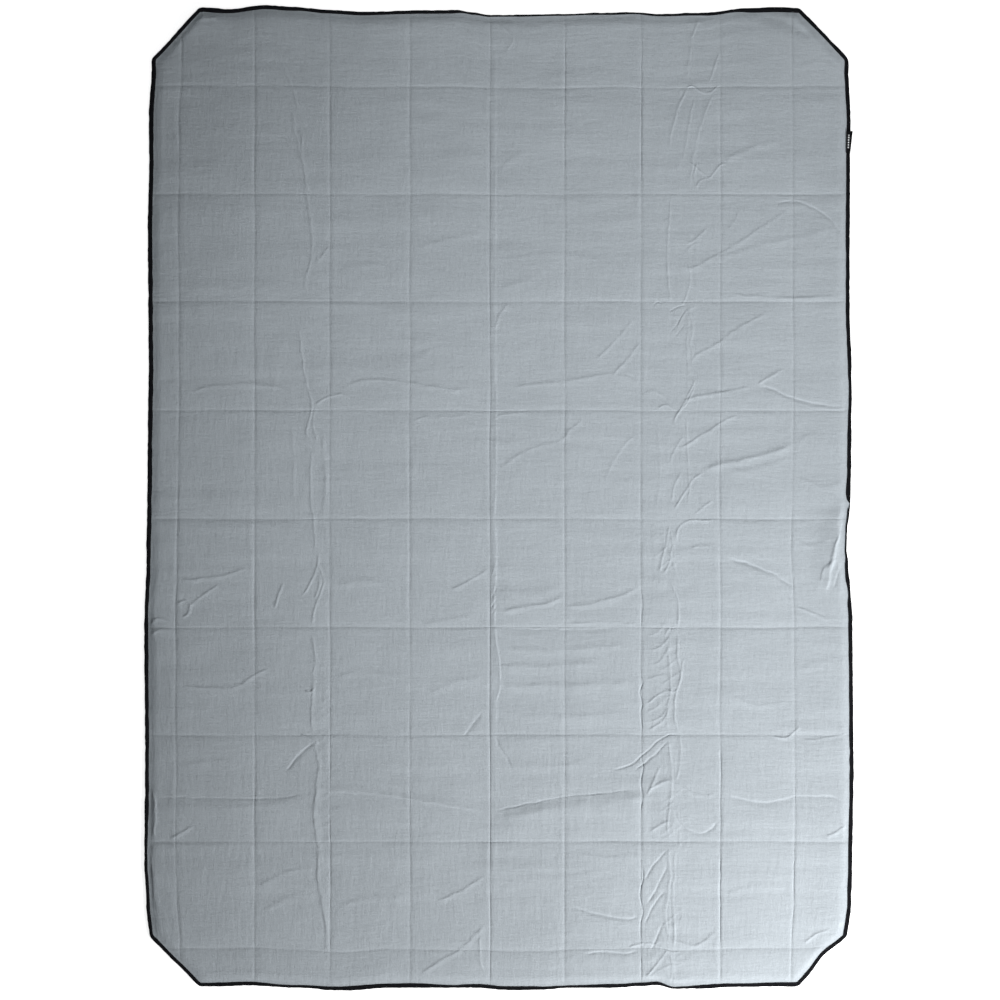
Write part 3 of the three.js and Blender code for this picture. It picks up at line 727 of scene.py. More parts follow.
def adaptive_cells(heights, tolerance, fine_tolerance, seam_is_last):
    """Square cells of 4, 2 or 1 steps over a grid of heights, as (column, row, size), small
    where the surface bends. The cells along the seam's column are all the smallest."""
    coarse = np.maximum(misfit(heights, 4), 0)
    columns, rows = coarse.shape
    middle = misfit(heights, 2)
    split_middle = middle > fine_tolerance
    split_middle[-1 if seam_is_last else 0] = True
    needed = split_middle.reshape(columns, 2, rows, 2).any((1, 3))
    within = middle.reshape(columns, 2, rows, 2).max((1, 3))
    split_coarse = (np.maximum(coarse, within) > tolerance) | grown(needed)
    spread_coarse = np.repeat(np.repeat(split_coarse, 2, 0), 2, 1)
    split_middle = split_middle & spread_coarse
    spread_middle = np.repeat(np.repeat(split_middle, 2, 0), 2, 1)
    cells = []
    for size, chosen in ((4, ~split_coarse), (2, spread_coarse & ~split_middle), (1, spread_middle)):
        c, r = np.nonzero(chosen)
        cells.append(np.stack([c * size, r * size, np.full(len(c), size)], 1))
    return np.concatenate(cells)


def triangles_of(cells, shape):
    """Triangles over the cells. A cell beside smaller ones is a fan from its own middle."""
    rows = shape[1]
    c, r, s = cells.T
    half = s // 2
    is_point = np.zeros(shape, bool)
    squares = ((0, 0), (1, 0), (1, 1), (0, 1))
    for dc, dr in squares:
        is_point[c + dc * s, r + dr * s] = True
    corner = [(c + dc * s) * rows + r + dr * s for dc, dr in squares]
    sides = ((1, 0), (2, 1), (1, 2), (0, 1))
    middles = [(c + dc * half) * rows + r + dr * half for dc, dr in sides]
    hanging = [(s > 1) & is_point[c + dc * half, r + dr * half] for dc, dr in sides]
    fan = np.any(hanging, axis=0)
    slant = (c // s + r // s) % 2 == 1
    one_way, other_way = ((0, 1, 3), (1, 2, 3)), ((0, 1, 2), (0, 2, 3))
    faces = []
    for pick, halves in ((~fan & slant, one_way), (~fan & ~slant, other_way)):
        for three in halves:
            faces.append(np.stack([corner[k][pick] for k in three], 1))
    centre = (c + half) * rows + r + half
    for side in range(4):
        a, b, m = corner[side], corner[(side + 1) % 4], middles[side]
        whole = fan & ~hanging[side]
        cut = fan & hanging[side]
        faces.append(np.stack([centre[whole], a[whole], b[whole]], 1))
        faces.append(np.stack([centre[cut], a[cut], m[cut]], 1))
        faces.append(np.stack([centre[cut], m[cut], b[cut]], 1))
    return np.concatenate(faces)


def make_object(name, points, faces, uv=None):
    """A smooth-shaded object from arrays, with its flat-cloth coordinates as a UV map."""
    mesh = bpy.data.meshes.new(name)
    points = np.asarray(points, np.float32)
    faces = np.asarray(faces, np.int32)
    sides = faces.shape[1]
    mesh.vertices.add(len(points))
    mesh.vertices.foreach_set("co", points.ravel())
    mesh.loops.add(faces.size)
    mesh.loops.foreach_set("vertex_index", faces.ravel())
    mesh.polygons.add(len(faces))
    mesh.polygons.foreach_set("loop_start", np.arange(0, faces.size, sides, dtype=np.int32))
    mesh.update(calc_edges=True)
    mesh.validate()
    mesh.shade_smooth()
    if uv is not None:
        layer = mesh.uv_layers.new(name="cloth")
        layer.data.foreach_set("uv", np.asarray(uv, np.float32)[faces.ravel()].ravel())
    thing = bpy.data.objects.new(name, mesh)
    bpy.context.scene.collection.objects.link(thing)
    return thing


def finer(lines):
    count = GRID_FINER * (len(lines) - 1) + 1
    return np.interp(np.arange(count) / GRID_FINER, np.arange(len(lines)), lines)


def cloth_half(name, side, inset, cell, tolerances, relief, height, facing=1):
    """One half of a cloth, left (-1) or right (1) of the middle crease."""
    seam = float(crease_x(MIDDLE_CREASE))
    outer = side * (HALF_WIDTH - inset)
    across = grid_lines(min(seam, outer), max(seam, outer), crease_x(np.array(CREASES)), cell)
    end = HALF_LENGTH - inset
    along = grid_lines(-end, end, crease_y(np.array(CREASES)), cell)
    across, along = finer(across), finer(along)
    grid_x, grid_y = np.meshgrid(across, along, indexing="ij")
    shape = relief(grid_x.ravel(), grid_y.ravel()).reshape(grid_x.shape)
    cells = adaptive_cells(shape, *tolerances, seam_is_last=side < 0)
    faces = triangles_of(cells, grid_x.shape)
    used, faces = np.unique(faces, return_inverse=True)
    faces = faces.reshape(-1, 3)
    x, y, rise = grid_x.ravel()[used], grid_y.ravel()[used], shape.ravel()[used]
    x = side * np.minimum(side * x, cloth_edge(y, inset))
    # Points past a cut corner fall together on it, and are joined.
    same = np.round(np.stack([x, y], 1) / JOIN_DISTANCE).astype(np.int64)
    _, first, joined = np.unique(same, axis=0, return_index=True, return_inverse=True)
    faces = joined.ravel()[faces]
    x, y, rise = x[first], y[first], rise[first]
    a, b, c = faces.T
    faces = faces[(a != b) & (b != c) & (a != c)]
    if facing < 0:
        faces = faces[:, ::-1]
    lies_x, lies_y = settle(x, y)
    points = np.stack([lies_x, lies_y, height(x, y, rise)], 1)
    cloth = make_object(name, points, faces, np.stack([x, y], 1))
    # The crush attribute: how dark a line is painted along the creases, partly crushed fibres and partly
    # painted shade in the grooves.
    marks = cloth.data.attributes.new("crush_and_shade", "FLOAT", "POINT")
    marks.data.foreach_set("value", crush_and_shade_marks(x, y).astype(np.float32))
    return cloth


# The cloths run into the binding pressed thin: the insets and heights where they do.
PRESS_FROM = BINDING_WIDTH + 11 * MM
PRESS_TO = BINDING_WIDTH - 1 * MM
MARGIN_Z = 1.65 * MM
BACKING_MARGIN_Z = 0.95 * MM
BACKING_Z = 0.15 * MM
FACE_ABOVE = 0.1 * MM
DEEPEST = -0.75 * MM
INTERLINING_BELOW = 0.1 * MM


def pressed(x, y):
    """From 1 out on the field of the cloth to 0 inside the binding."""
    return ramp(inset_of(x, y), PRESS_TO, PRESS_FROM)


def face_height(x, y, relief):
    top = FACE_Z + FACE_ABOVE + np.maximum(relief, DEEPEST)
    return ground(x, y) + MARGIN_Z + (top - MARGIN_Z) * pressed(x, y)


def backing_relief(x, y):
    """The underside's shape: drawn up a little at the creases and under the wrinkles."""
    raised = 0.35 * np.clip(wrinkle_relief(x, y) + tuck_relief(x, y), 0, 1.6 * MM)
    return raised + 0.35 * MM * bell(crease_gap(x, y), 2.4 * MM)


def backing_height(x, y, relief):
    low = BACKING_Z + relief
    return ground(x, y) + BACKING_MARGIN_Z + (low - BACKING_MARGIN_Z) * pressed(x, y)


def crease_gap(x, y):
    """The distance to the nearest pressed crease."""
    down = np.min([np.abs(x - crease_x(count)) for count in CREASES], axis=0)
    across = np.min([np.abs(y - crease_y(count)) for count in CREASES], axis=0)
    return np.minimum(down, across)


def interlining_height(x, y, relief):
    return ground(x, y) + INTERLINING_Z - INTERLINING_BELOW


def even_relief(x, y):
    return np.zeros_like(x)


# ---------------------------------------------------------------- binding


CORNER_STEPS = 8


def outline_path(side, spacing):
    """Stations round one half of the outline, from the head's middle crease round the side
    to the foot's: points on the outer edge, outward directions, and distance along."""
    seam = float(crease_x(MIDDLE_CREASE))
    half_x = HALF_WIDTH - CORNER_ROUND
    half_y = HALF_LENGTH - CORNER_ROUND
    cut = CORNER_CUT - CORNER_ROUND * (2 - math.sqrt(2))
    centres = [
        (half_x - cut, half_y), (half_x, half_y - cut), (half_x, cut - half_y), (half_x - cut, -half_y),
    ]
    points = [(side * seam, HALF_LENGTH)]
    normals = [(0, 1)]
    angle = math.pi / 2
    for cx, cy in centres:
        for step in range(CORNER_STEPS + 1):
            turn = angle - math.pi / 4 * step / CORNER_STEPS
            normals.append((math.cos(turn), math.sin(turn)))
            points.append((cx + CORNER_ROUND * math.cos(turn), cy + CORNER_ROUND * math.sin(turn)))
        angle -= math.pi / 4
    points.append((side * seam, -HALF_LENGTH))
    normals.append((0, -1))
    path, outward = [], []
    for a, b, na, nb in zip(points, points[1:], normals, normals[1:]):
        a, b, na, nb = (np.array(v, float) for v in (a, b, na, nb))
        count = max(1, round(np.linalg.norm(b - a) / spacing))
        for t in np.arange(count) / count:
            path.append(a + (b - a) * t)
            outward.append(na + (nb - na) * t)
    path.append(np.array(points[-1]))
    outward.append(np.array(normals[-1], float))
    path = np.array(path) * (side, 1)
    outward = np.array(outward) * (side, 1)
    outward /= np.linalg.norm(outward, axis=1)[:, None]
    along = np.concatenate([[0], np.cumsum(np.hypot(*np.diff(path, axis=0).T))])
    return path, outward, along


# The folded tape's section, as (inset from the outer edge, height), in mm, round its outside
# from the top leg's turned edge to the bottom leg's, and back along its inside.
TAPE_OUTSIDE = [
    (9.0, 2.05), (8.9, 2.4), (8.4, 2.62), (7.4, 2.5), (6.4, 2.36), (5.2, 2.62), (3.4, 2.8),
    (1.8, 2.72), (0.7, 2.3), (0.1, 1.7), (0.1, 1.1), (0.6, 0.5), (1.8, 0.16), (4.0, 0.12),
    (6.4, 0.25), (8.2, 0.12), (8.9, 0.2), (9.1, 0.5),
]
TAPE_INSIDE = [
    (8.6, 0.66), (6.4, 0.72), (3.5, 0.75), (1.6, 0.95), (1.1, 1.4), (1.6, 1.95), (3.5, 2.1),
    (6.4, 1.9), (8.5, 1.9),
]
TOP_LEG = 8  # points of TAPE_OUTSIDE on the top leg
TOP_LEG_INSIDE = 3  # points of TAPE_INSIDE on the top leg
CUT_SHOWS = 0.8  # how much of the top leg shows along the cut corners
TAPE_SPACING = 2.6 * MM
# How much of the tape's top leg shows along each edge, as (place in mm, share).
LEFT_SHOWS = [(-900, 0.9), (-650, 0.7), (-560, 0.85), (-140, 0.85), (0, 0.97), (900, 0.95)]
RIGHT_SHOWS = [
    (-900, 0.85), (-200, 0.85), (-176, 0.5), (-150, 0.85), (-128, 0.7), (-104, 0.42), (-40, 0.38),
    (-22, 0.5), (-12, 0.08), (0, 0.75), (10, 0.9), (120, 0.8), (190, 0.62), (260, 0.8), (900, 0.85),
]
HEAD_SHOWS = [
    (-560, 1.0), (-440, 0.9), (-300, 0.75), (-90, 0.75), (-50, 0.5), (30, 0.42), (150, 0.42),
    (200, 0.52), (260, 0.42), (340, 0.55), (420, 0.68), (470, 1.0), (560, 1.0),
]
FOOT_SHOWS = [
    (-560, 0.8), (-460, 0.8), (-400, 0.5), (-340, 0.65), (-260, 0.9), (-150, 0.9), (-80, 0.6),
    (-44, 0.8), (20, 0.75), (140, 0.5), (215, 0.75), (290, 0.75), (326, 0.45), (400, 0.85),
    (440, 0.65), (560, 0.95),
]


def leg_share(path, outward):
    """How much of the tape's top leg shows: it rolls under in places."""
    x, y = path.T
    sides = np.where(x < 0, through(LEFT_SHOWS, y / MM), through(RIGHT_SHOWS, y / MM))
    ends = np.where(y > 0, through(HEAD_SHOWS, x / MM), through(FOOT_SHOWS, x / MM))
    along_side, along_end = ramp(np.abs(outward), 0.75, 0.95).T
    share = sides * along_side + ends * along_end + CUT_SHOWS * (1 - along_side - along_end)
    return share * (1 + 0.08 * lattice_noise(x + 3 * y, y, 0.05, 0.05, 61))


def tube_faces(stations, count):
    """The quads of a tube with a ring of count points at each station."""
    ring = np.arange(count)
    following = (ring + 1) % count
    rows = np.arange(stations - 1)[:, None] * count
    faces = (rows + ring, rows + following, rows + count + following, rows + count + ring)
    return np.stack(faces, 2).reshape(-1, 4)


def binding_half(name, side):
    path, outward, along = outline_path(side, TAPE_SPACING)
    share = leg_share(path, outward)
    wobble = 0.45 * MM * lattice_noise(along, side, 0.017, 1, 62)
    wobble = wobble + 0.35 * MM * lattice_noise(along, side, 0.006, 1, 63)
    pucker = 0.22 * MM * lattice_noise(along, side, 0.009, 1, 64)
    section = np.array(TAPE_OUTSIDE + TAPE_INSIDE) * MM
    count = len(section)
    points = np.zeros((len(path), count, 3))
    uv = np.zeros((len(path), count, 2))
    girth = np.concatenate([[0], np.cumsum(np.hypot(*np.diff(section, axis=0).T))])
    for k, (inset, height) in enumerate(section):
        on_top = k < TOP_LEG or k >= count - TOP_LEG_INSIDE
        inward = inset * (share if on_top else 1) - wobble * max(0, 1 - inset / (5 * MM))
        flat = path - outward * inward[:, None]
        lies_x, lies_y = settle(flat[:, 0], flat[:, 1])
        rise = pucker if 1 <= k < TOP_LEG else 0
        points[:, k] = np.stack([lies_x, lies_y, ground(*path.T) + height + rise], 1)
        uv[:, k] = np.stack([along, np.full(len(path), girth[k])], 1)
    faces = tube_faces(len(path), count)
    if side < 0:
        faces = faces[:, ::-1]
    return make_object(name, points.reshape(-1, 3), faces, uv.reshape(-1, 2))


# ---------------------------------------------------------------- stitches

STITCH_PITCH = 3.1 * MM
STITCH_LENGTH = 2.5 * MM
THREAD_RADIUS = 0.24 * MM
STITCH_SIDES = 6
STITCH_TOP = 2.6 * MM
STITCH_UNDER = 0.24 * MM
# Along a stitch: (share of its length, share of the thread's radius, dip in thread radii).
STITCH_RINGS = [
    (-0.5, 0.35, 1.0), (-0.38, 0.85, 0.35), (0.0, 1.0, 0.0), (0.38, 0.85, 0.35), (0.5, 0.35, 1.0),
]


def stitch_run(centres, directions, up=1):
    """Stitches with their ends dipping into the tape or ribbon, as points and quads."""
    points, faces = [], []
    ring = np.arange(STITCH_SIDES)
    turn = 2 * np.pi * ring / STITCH_SIDES
    across = np.stack([-directions[:, 1], directions[:, 0]], 1)
    count = len(STITCH_RINGS) * STITCH_SIDES
    for share, radius, dip in STITCH_RINGS:
        sideways = np.cos(turn) * radius * THREAD_RADIUS
        height = (np.sin(turn) * radius - dip) * THREAD_RADIUS * up
        place = centres[:, None, :2] + directions[:, None] * share * STITCH_LENGTH
        place = place + across[:, None] * sideways[:, None]
        z = centres[:, None, 2] + height
        points.append(np.concatenate([place, z[:, :, None]], 2))
    points = np.concatenate(points, 1).reshape(-1, 3)
    for band in range(len(STITCH_RINGS) - 1):
        a = band * STITCH_SIDES + ring
        b = band * STITCH_SIDES + (ring + 1) % STITCH_SIDES
        faces.append(np.stack([a, b, b + STITCH_SIDES, a + STITCH_SIDES], 1))
    faces = np.concatenate(faces)
    if up < 0:
        faces = faces[:, ::-1]
    starts = np.arange(len(centres))[:, None, None] * count
    return points, (faces[None] + starts).reshape(-1, 4)


def along_outline(side, inset, pitch):
    """Evenly spaced places on the tape, inset from the outer edge: where they lie, how high
    the ground is there, and their directions."""
    path, outward, along = outline_path(side, 1.5 * MM)
    share = leg_share(path, outward)
    flat = path - outward * (inset * share)[:, None]
    lies = np.stack(settle(flat[:, 0], flat[:, 1]), 1)
    length = np.concatenate([[0], np.cumsum(np.hypot(*np.diff(lies, axis=0).T))])
    at = np.arange(pitch / 2, length[-1], pitch)
    place = np.stack([np.interp(at, length, lies[:, k]) for k in (0, 1)], 1)
    base = np.interp(at, length, ground(*path.T))
    ahead = np.stack([np.interp(at + 0.5 * MM, length, lies[:, k]) for k in (0, 1)], 1) - place
    ahead /= np.maximum(np.linalg.norm(ahead, axis=1), 1e-9)[:, None]
    return place, base, ahead


def binding_stitches(name, side):
    place, base, ahead = along_outline(side, STITCH_INSET, STITCH_PITCH)
    points, faces = stitch_run(np.column_stack([place, base + STITCH_TOP]), ahead)
    more, more_faces = stitch_run(np.column_stack([place, base + STITCH_UNDER]), ahead, up=-1)
    faces = np.concatenate([faces, more_faces + len(points)])
    return make_object(name, np.concatenate([points, more]), faces)


# ---------------------------------------------------------------- label

LABEL_LEAF = 0.28 * MM
LABEL_LEAN = 4 * MM
LABEL_ROOT_SHIFT = 0.8 * MM
LABEL_CURL = 0.5 * MM
LABEL_RIM = 4 * MM  # how far in from the edge the tape under the label lies
LABEL_FOLD = 0.35 * MM
LABEL_WIDTH = label_high.x - label_low.x
LABEL_LENGTH = label_high.y - label_low.y
TACK_COUNT = 14


def on_right_edge(x, y):
    """Where a point beside the right edge lies: it moves sideways with the tape there."""
    lies_x, lies_y = settle(np.full_like(y, HALF_WIDTH - LABEL_RIM), y)
    return lies_x + x - HALF_WIDTH + LABEL_RIM, lies_y


def label_place(across, along, height):
    """A point of the label: across from its root to its fold, along from foot to head."""
    drawn_in = LABEL_LEAN * (1.25 - along) * across
    x = label_low.x - LABEL_ROOT_SHIFT + across * LABEL_WIDTH - drawn_in
    y = label_low.y + along * LABEL_LENGTH
    lies_x, lies_y = on_right_edge(x, y)
    curl = LABEL_CURL * np.sin(along * np.pi) * across
    return np.stack([lies_x, lies_y, ground(x, y) + height + curl], -1)


def make_label():
    """A ribbon folded on itself: a top leaf, a round fold and a bottom leaf."""
    rise = label_low.z
    turns = np.radians(np.linspace(-90, 90, 7))
    leaf = np.linspace(0, 0.94, 14)
    section = [(a, rise) for a in leaf]
    section += [(0.96 + 0.04 * math.cos(t), rise + LABEL_FOLD * (1 + math.sin(t))) for t in turns]
    section += [(a, rise + 2 * LABEL_FOLD) for a in leaf[::-1]]
    section = np.array(section)
    directions = np.gradient(section * (LABEL_WIDTH, 1), axis=0)
    normal = np.stack([directions[:, 1], -directions[:, 0]], 1)
    normal /= np.linalg.norm(normal, axis=1)[:, None]
    inside = section - normal * LABEL_LEAF * (1 / LABEL_WIDTH, 1)
    loop = np.concatenate([section, inside[::-1]])
    along = np.linspace(0, 1, 42)
    grid_a = np.repeat(loop[None, :, 0], len(along), 0)
    grid_z = np.repeat(loop[None, :, 1], len(along), 0)
    grid_t = np.repeat(along[:, None], len(loop), 1)
    points = label_place(grid_a, grid_t, grid_z).reshape(-1, 3)
    faces = tube_faces(len(along), len(loop))[:, ::-1]
    steps = np.diff(loop, axis=0) * (LABEL_WIDTH, 1)
    girth = np.concatenate([[0], np.cumsum(np.hypot(*steps.T))])
    uv = np.stack([np.repeat(girth[None], len(along), 0), grid_t * LABEL_LENGTH], -1)
    return make_object("loop_label_ribbon", points, faces, uv.reshape(-1, 2))


def make_label_tack():
    """The row of short slanted stitches along the label's root."""
    low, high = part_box("label_stitch")
    y = low.y + (np.arange(TACK_COUNT) + 0.5) / TACK_COUNT * (high.y - low.y)
    x, lies_y = on_right_edge((low.x + high.x) / 2 + 0.6 * MM, y)
    centres = np.stack([x, lies_y, ground(x, y) + low.z + 0.1 * MM], 1)
    ahead = np.tile([0.35, 0.937], (TACK_COUNT, 1))
    points, faces = stitch_run(centres, ahead)
    return make_object("label_tack", points, faces)


# ---------------------------------------------------------------- materials


class Nodes:
    """A material's node tree, with short calls for the nodes used here."""

    def __init__(self, name):
        self.material = bpy.data.materials.new(name)
        self.material.use_nodes = True
        self.tree = self.material.node_tree
        self.shader = self.tree.nodes["Principled BSDF"]

    def add(self, kind, inputs=None, **settings):
        node = self.tree.nodes.new(kind)
        for key, value in settings.items():
            setattr(node, key, value)
        for key, value in (inputs or {}).items():
            if isinstance(value, bpy.types.NodeSocket):
                self.tree.links.new(value, node.inputs[key])
            else:
                node.inputs[key].default_value = value
        return node

    def cloth_position(self, scale):
        """The flat cloth's own coordinates, so that the pattern bends with it."""
        place = self.add("ShaderNodeUVMap", uv_map="cloth").outputs["UV"]
        return self.add("ShaderNodeMapping", {"Vector": place, "Scale": scale}).outputs["Vector"]

    def noise(self, scale, detail=2.0, roughness=0.5, offset=0.0):
        place = self.cloth_position(scale)
        shifted = self.add("ShaderNodeVectorMath", {0: place, 1: (offset, offset * 0.7, 0)}, operation="ADD")
        inputs = {"Vector": shifted.outputs[0], "Scale": 1.0, "Detail": detail, "Roughness": roughness}
        return self.add("ShaderNodeTexNoise", inputs, noise_dimensions="2D").outputs["Fac"]

    def math(self, operation, a, b=0.0, c=0.0):
        return self.add("ShaderNodeMath", {0: a, 1: b, 2: c}, operation=operation).outputs[0]

    def spread(self, value, low, high):
        """A noise's middle range stretched to run from low to high."""
        inputs = {"Value": value, "From Min": 0.3, "From Max": 0.7, "To Min": low, "To Max": high}
        return self.add("ShaderNodeMapRange", inputs).outputs["Result"]

    def tinted(self, colour, factor):
        """A colour multiplied by a value that changes over the surface."""
        node = self.tree.nodes.new("ShaderNodeVectorMath")
        node.operation = "SCALE"
        node.inputs[0].default_value = colour
        self.tree.links.new(factor, node.inputs["Scale"])
        return node.outputs[0]

    def weave(self, pitch):
        """The height of a plain weave, thread over thread."""
        place = self.cloth_position((math.pi / pitch, math.pi / pitch, 1))
        split = self.add("ShaderNodeSeparateXYZ", {0: place})
        warp = self.math("SINE", split.outputs["X"])
        weft = self.math("SINE", split.outputs["Y"])
        return self.math("ABSOLUTE", self.math("MULTIPLY", warp, weft))

    def bump(self, height, distance, strength, normal=None):
        inputs = {"Height": height, "Distance": distance, "Strength": strength}
        if normal is not None:
            inputs["Normal"] = normal
        return self.add("ShaderNodeBump", inputs).outputs["Normal"]

    def finish(self, colour, normal, **values):
        self.tree.links.new(colour, self.shader.inputs["Base Color"])
        self.tree.links.new(normal, self.shader.inputs["Normal"])
        for key, value in values.items():
            socket = self.shader.inputs[key.replace("_", " ")]
            if isinstance(value, bpy.types.NodeSocket):
                self.tree.links.new(value, socket)
            else:
                socket.default_value = value
        return self.material


THREAD_PITCH = 0.62 * MM


def woven_cloth(name, colour):
    """Plain-woven cotton: slubs along both threads, a soft mottle, faint lint, and a darker line along the
    creases that is partly crushed fibres and partly painted shade.
    """
    n = Nodes(name)
    warp = n.spread(n.noise((520, 110, 1), 3.0, 0.6), 0.965, 1.035)
    weft = n.spread(n.noise((100, 500, 1), 3.0, 0.6, 7.0), 0.965, 1.035)
    mottle = n.spread(n.noise((22, 16, 1), 4.0, 0.6, 3.0), 0.985, 1.015)
    clouds = n.spread(n.noise((3.2, 2.6, 1), 2.0, 0.5, 5.0), 0.985, 1.015)
    lint = n.spread(n.noise((430, 430, 1), 1.0, 0.5, 9.0), 0.97, 1.03)
    shade = n.math("MULTIPLY", n.math("MULTIPLY", warp, weft), n.math("MULTIPLY", mottle, clouds))
    shade = n.math("MULTIPLY", shade, lint)
    # Darkens the colour along the creases: partly crushed fibres, partly painted shade in the grooves.
    crush_and_shade = n.add("ShaderNodeAttribute", attribute_name="crush_and_shade").outputs["Fac"]
    shade = n.math("MULTIPLY", shade, n.math("SUBTRACT", 1.0, n.math("MULTIPLY", crush_and_shade, 0.12)))
    crinkle = n.math("ADD", n.noise((26, 150, 1), 4.0, 0.6, 11.0), n.noise((140, 30, 1), 4.0, 0.6, 13.0))
    normal = n.bump(crinkle, 0.5 * MM, 1.0)
    slub = n.math("ADD", n.noise((620, 110, 1), 3.0, 0.6), n.noise((96, 560, 1), 3.0, 0.6, 7.0))
    normal = n.bump(slub, 0.25 * MM, 0.4, normal)
    normal = n.bump(n.weave(THREAD_PITCH), 0.12 * MM, 0.5, normal)
    rough = n.spread(n.noise((60, 60, 1), 2.0, 0.5, 2.0), 0.86, 0.96)
    return n.finish(
        n.tinted(colour, shade), normal, Roughness=rough,
        Sheen_Weight=0.12, Sheen_Roughness=0.5, Specular_IOR_Level=0.2,
    )


def felt_cloth(name, colour):
    n = Nodes(name)
    fibres = n.spread(n.noise((160, 190, 1), 6.0, 0.7), 0.9, 1.08)
    normal = n.bump(n.noise((420, 380, 1), 5.0, 0.75), 0.3 * MM, 0.6)
    return n.finish(n.tinted(colour, fibres), normal, Roughness=0.95, Specular_IOR_Level=0.2)


def twill_tape(name, colour):
    """Folded cotton tape: a fine slanted twill, worn paler in patches."""
    n = Nodes(name)
    place = n.cloth_position((2 * math.pi / (0.9 * MM), 2 * math.pi / (0.55 * MM), 1))
    split = n.add("ShaderNodeSeparateXYZ", {0: place})
    slant = n.math("SINE", n.math("ADD", split.outputs["X"], split.outputs["Y"]))
    wear = n.spread(n.noise((70, 260, 1), 4.0, 0.6, 4.0), 0.75, 1.45)
    normal = n.bump(n.noise((260, 500, 1), 2.0, 0.5), 0.2 * MM, 0.5)
    normal = n.bump(slant, 0.12 * MM, 0.5, normal)
    return n.finish(
        n.tinted(colour, wear), normal, Roughness=0.82,
        Sheen_Weight=0.03, Sheen_Roughness=0.4, Specular_IOR_Level=0.12,
    )


def spun_thread(name, colour):
    n = Nodes(name)
    place = n.add("ShaderNodeTexCoord").outputs["Object"]
    inputs = {"Vector": place, "Scale": 2400.0, "Detail": 2.0}
    grain = n.add("ShaderNodeTexNoise", inputs).outputs["Fac"]
    shade = n.spread(grain, 0.8, 1.3)
    return n.finish(n.tinted(colour, shade), n.bump(grain, 0.05 * MM, 0.5), Roughness=0.7)


# The row of yarn dashes on the label: its place round the ribbon, and along it.
MARK_AT = 20.4 * MM
MARK_HALF_HEIGHT = 1.5 * MM
MARK_PITCH = 4.6 * MM
MARK_SHARE = 0.62
MARKS_FROM = 8 * MM
MARKS_TO = 34 * MM
MIX_A, MIX_B, MIX_RESULT = 6, 7, 2  # the colour sockets of a Mix node


def make_label_material(name, colour, mark_colour):
    n = Nodes(name)
    split = n.add("ShaderNodeSeparateXYZ", {0: n.cloth_position((1, 1, 1))})
    girth, along = split.outputs["X"], split.outputs["Y"]
    run = n.math("MODULO", n.math("DIVIDE", along, MARK_PITCH), 1.0)
    dash = n.math("LESS_THAN", run, MARK_SHARE)
    after, before = n.math("GREATER_THAN", along, MARKS_FROM), n.math("LESS_THAN", along, MARKS_TO)
    inner = n.math("MULTIPLY", after, before)
    away = n.math("ABSOLUTE", n.math("SUBTRACT", girth, MARK_AT))
    near = n.math("LESS_THAN", away, MARK_HALF_HEIGHT)
    mark = n.math("MULTIPLY", n.math("MULTIPLY", dash, inner), near)
    shade = n.spread(n.noise((900, 300, 1), 2.0), 0.8, 1.3)
    mixed = n.add("ShaderNodeMix", data_type="RGBA")
    n.tree.links.new(mark, mixed.inputs["Factor"])
    n.tree.links.new(n.tinted(colour, shade), mixed.inputs[MIX_A])
    mixed.inputs[MIX_B].default_value = (*mark_colour, 1.0)
    ribs = n.math("SINE", n.math("MULTIPLY", along, 2 * math.pi / (0.5 * MM)))
    normal = n.bump(ribs, 0.08 * MM, 0.5)
    return n.finish(mixed.outputs[MIX_RESULT], normal, Roughness=0.7, Specular_IOR_Level=0.12)


FACE_COLOUR = (0.418, 0.460, 0.497)
BACKING_COLOUR = (0.26, 0.295, 0.325)
FELT_COLOUR = (0.58, 0.56, 0.50)
TAPE_COLOUR = (0.0028, 0.0031, 0.0050)
THREAD_COLOUR = (0.005, 0.0055, 0.008)
RIBBON_COLOUR = (0.0030, 0.0032, 0.0045)
YARN_COLOUR = (0.80, 0.82, 0.84)


# ---------------------------------------------------------------- pieces

SIDES = {"left": (-1, "left_flap", LEFT_FOLD_X), "right": (1, "right_flap", RIGHT_FOLD_X)}
# How far flat cells may lie off the true surface: of the base grid, and of its halves.
FACE_TOLERANCES = (0.092 * MM, 0.108 * MM)
BACKING_TOLERANCES = (0.12 * MM, 0.12 * MM)
FELT_TOLERANCES = (MM, MM)


def bend_over(piece):
    """Bakes the piece's placement into its mesh."""
    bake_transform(piece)


def dress(piece, material):
    piece.data.materials.append(material)


def make_layers(materials):
    """Both halves of each cloth, of the tape and of its stitches."""
    for name, (side, _, _) in SIDES.items():
        backing = cloth_half(
            f"backing_cloth_{name}_half", side, CLOTH_INSET, 8 * MM, BACKING_TOLERANCES,
            backing_relief, backing_height, facing=-1,
        )
        dress(backing, materials["backing_cloth"])
        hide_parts(f"backing_cloth_{name}", "backing_cloth_centre")
        felt = cloth_half(
            f"interlining_{name}_half", side, INTERLINING_INSET, 12 * MM, FELT_TOLERANCES,
            even_relief, interlining_height,
        )
        dress(felt, materials["interlining"])
        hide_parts(f"interlining_{name}", "interlining_centre")
        face = cloth_half(
            f"face_cloth_{name}_half", side, CLOTH_INSET, 6.4 * MM, FACE_TOLERANCES,
            face_relief, face_height,
        )
        dress(face, materials["face_cloth"])
        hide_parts(f"face_cloth_{name}", "face_cloth_centre")
        binding = binding_half(f"edge_binding_{name}_half", side)
        dress(binding, materials["binding_tape"])
        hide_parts(f"edge_binding_{name}", "edge_binding_head", "edge_binding_foot")
        stitches = binding_stitches(f"binding_stitches_{name}_half", side)
        dress(stitches, materials["sewing_thread"])
        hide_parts(f"binding_stitch_{name}", "binding_stitch_head", "binding_stitch_foot")
        for piece in (backing, felt, face, binding, stitches):
            bend_over(piece)


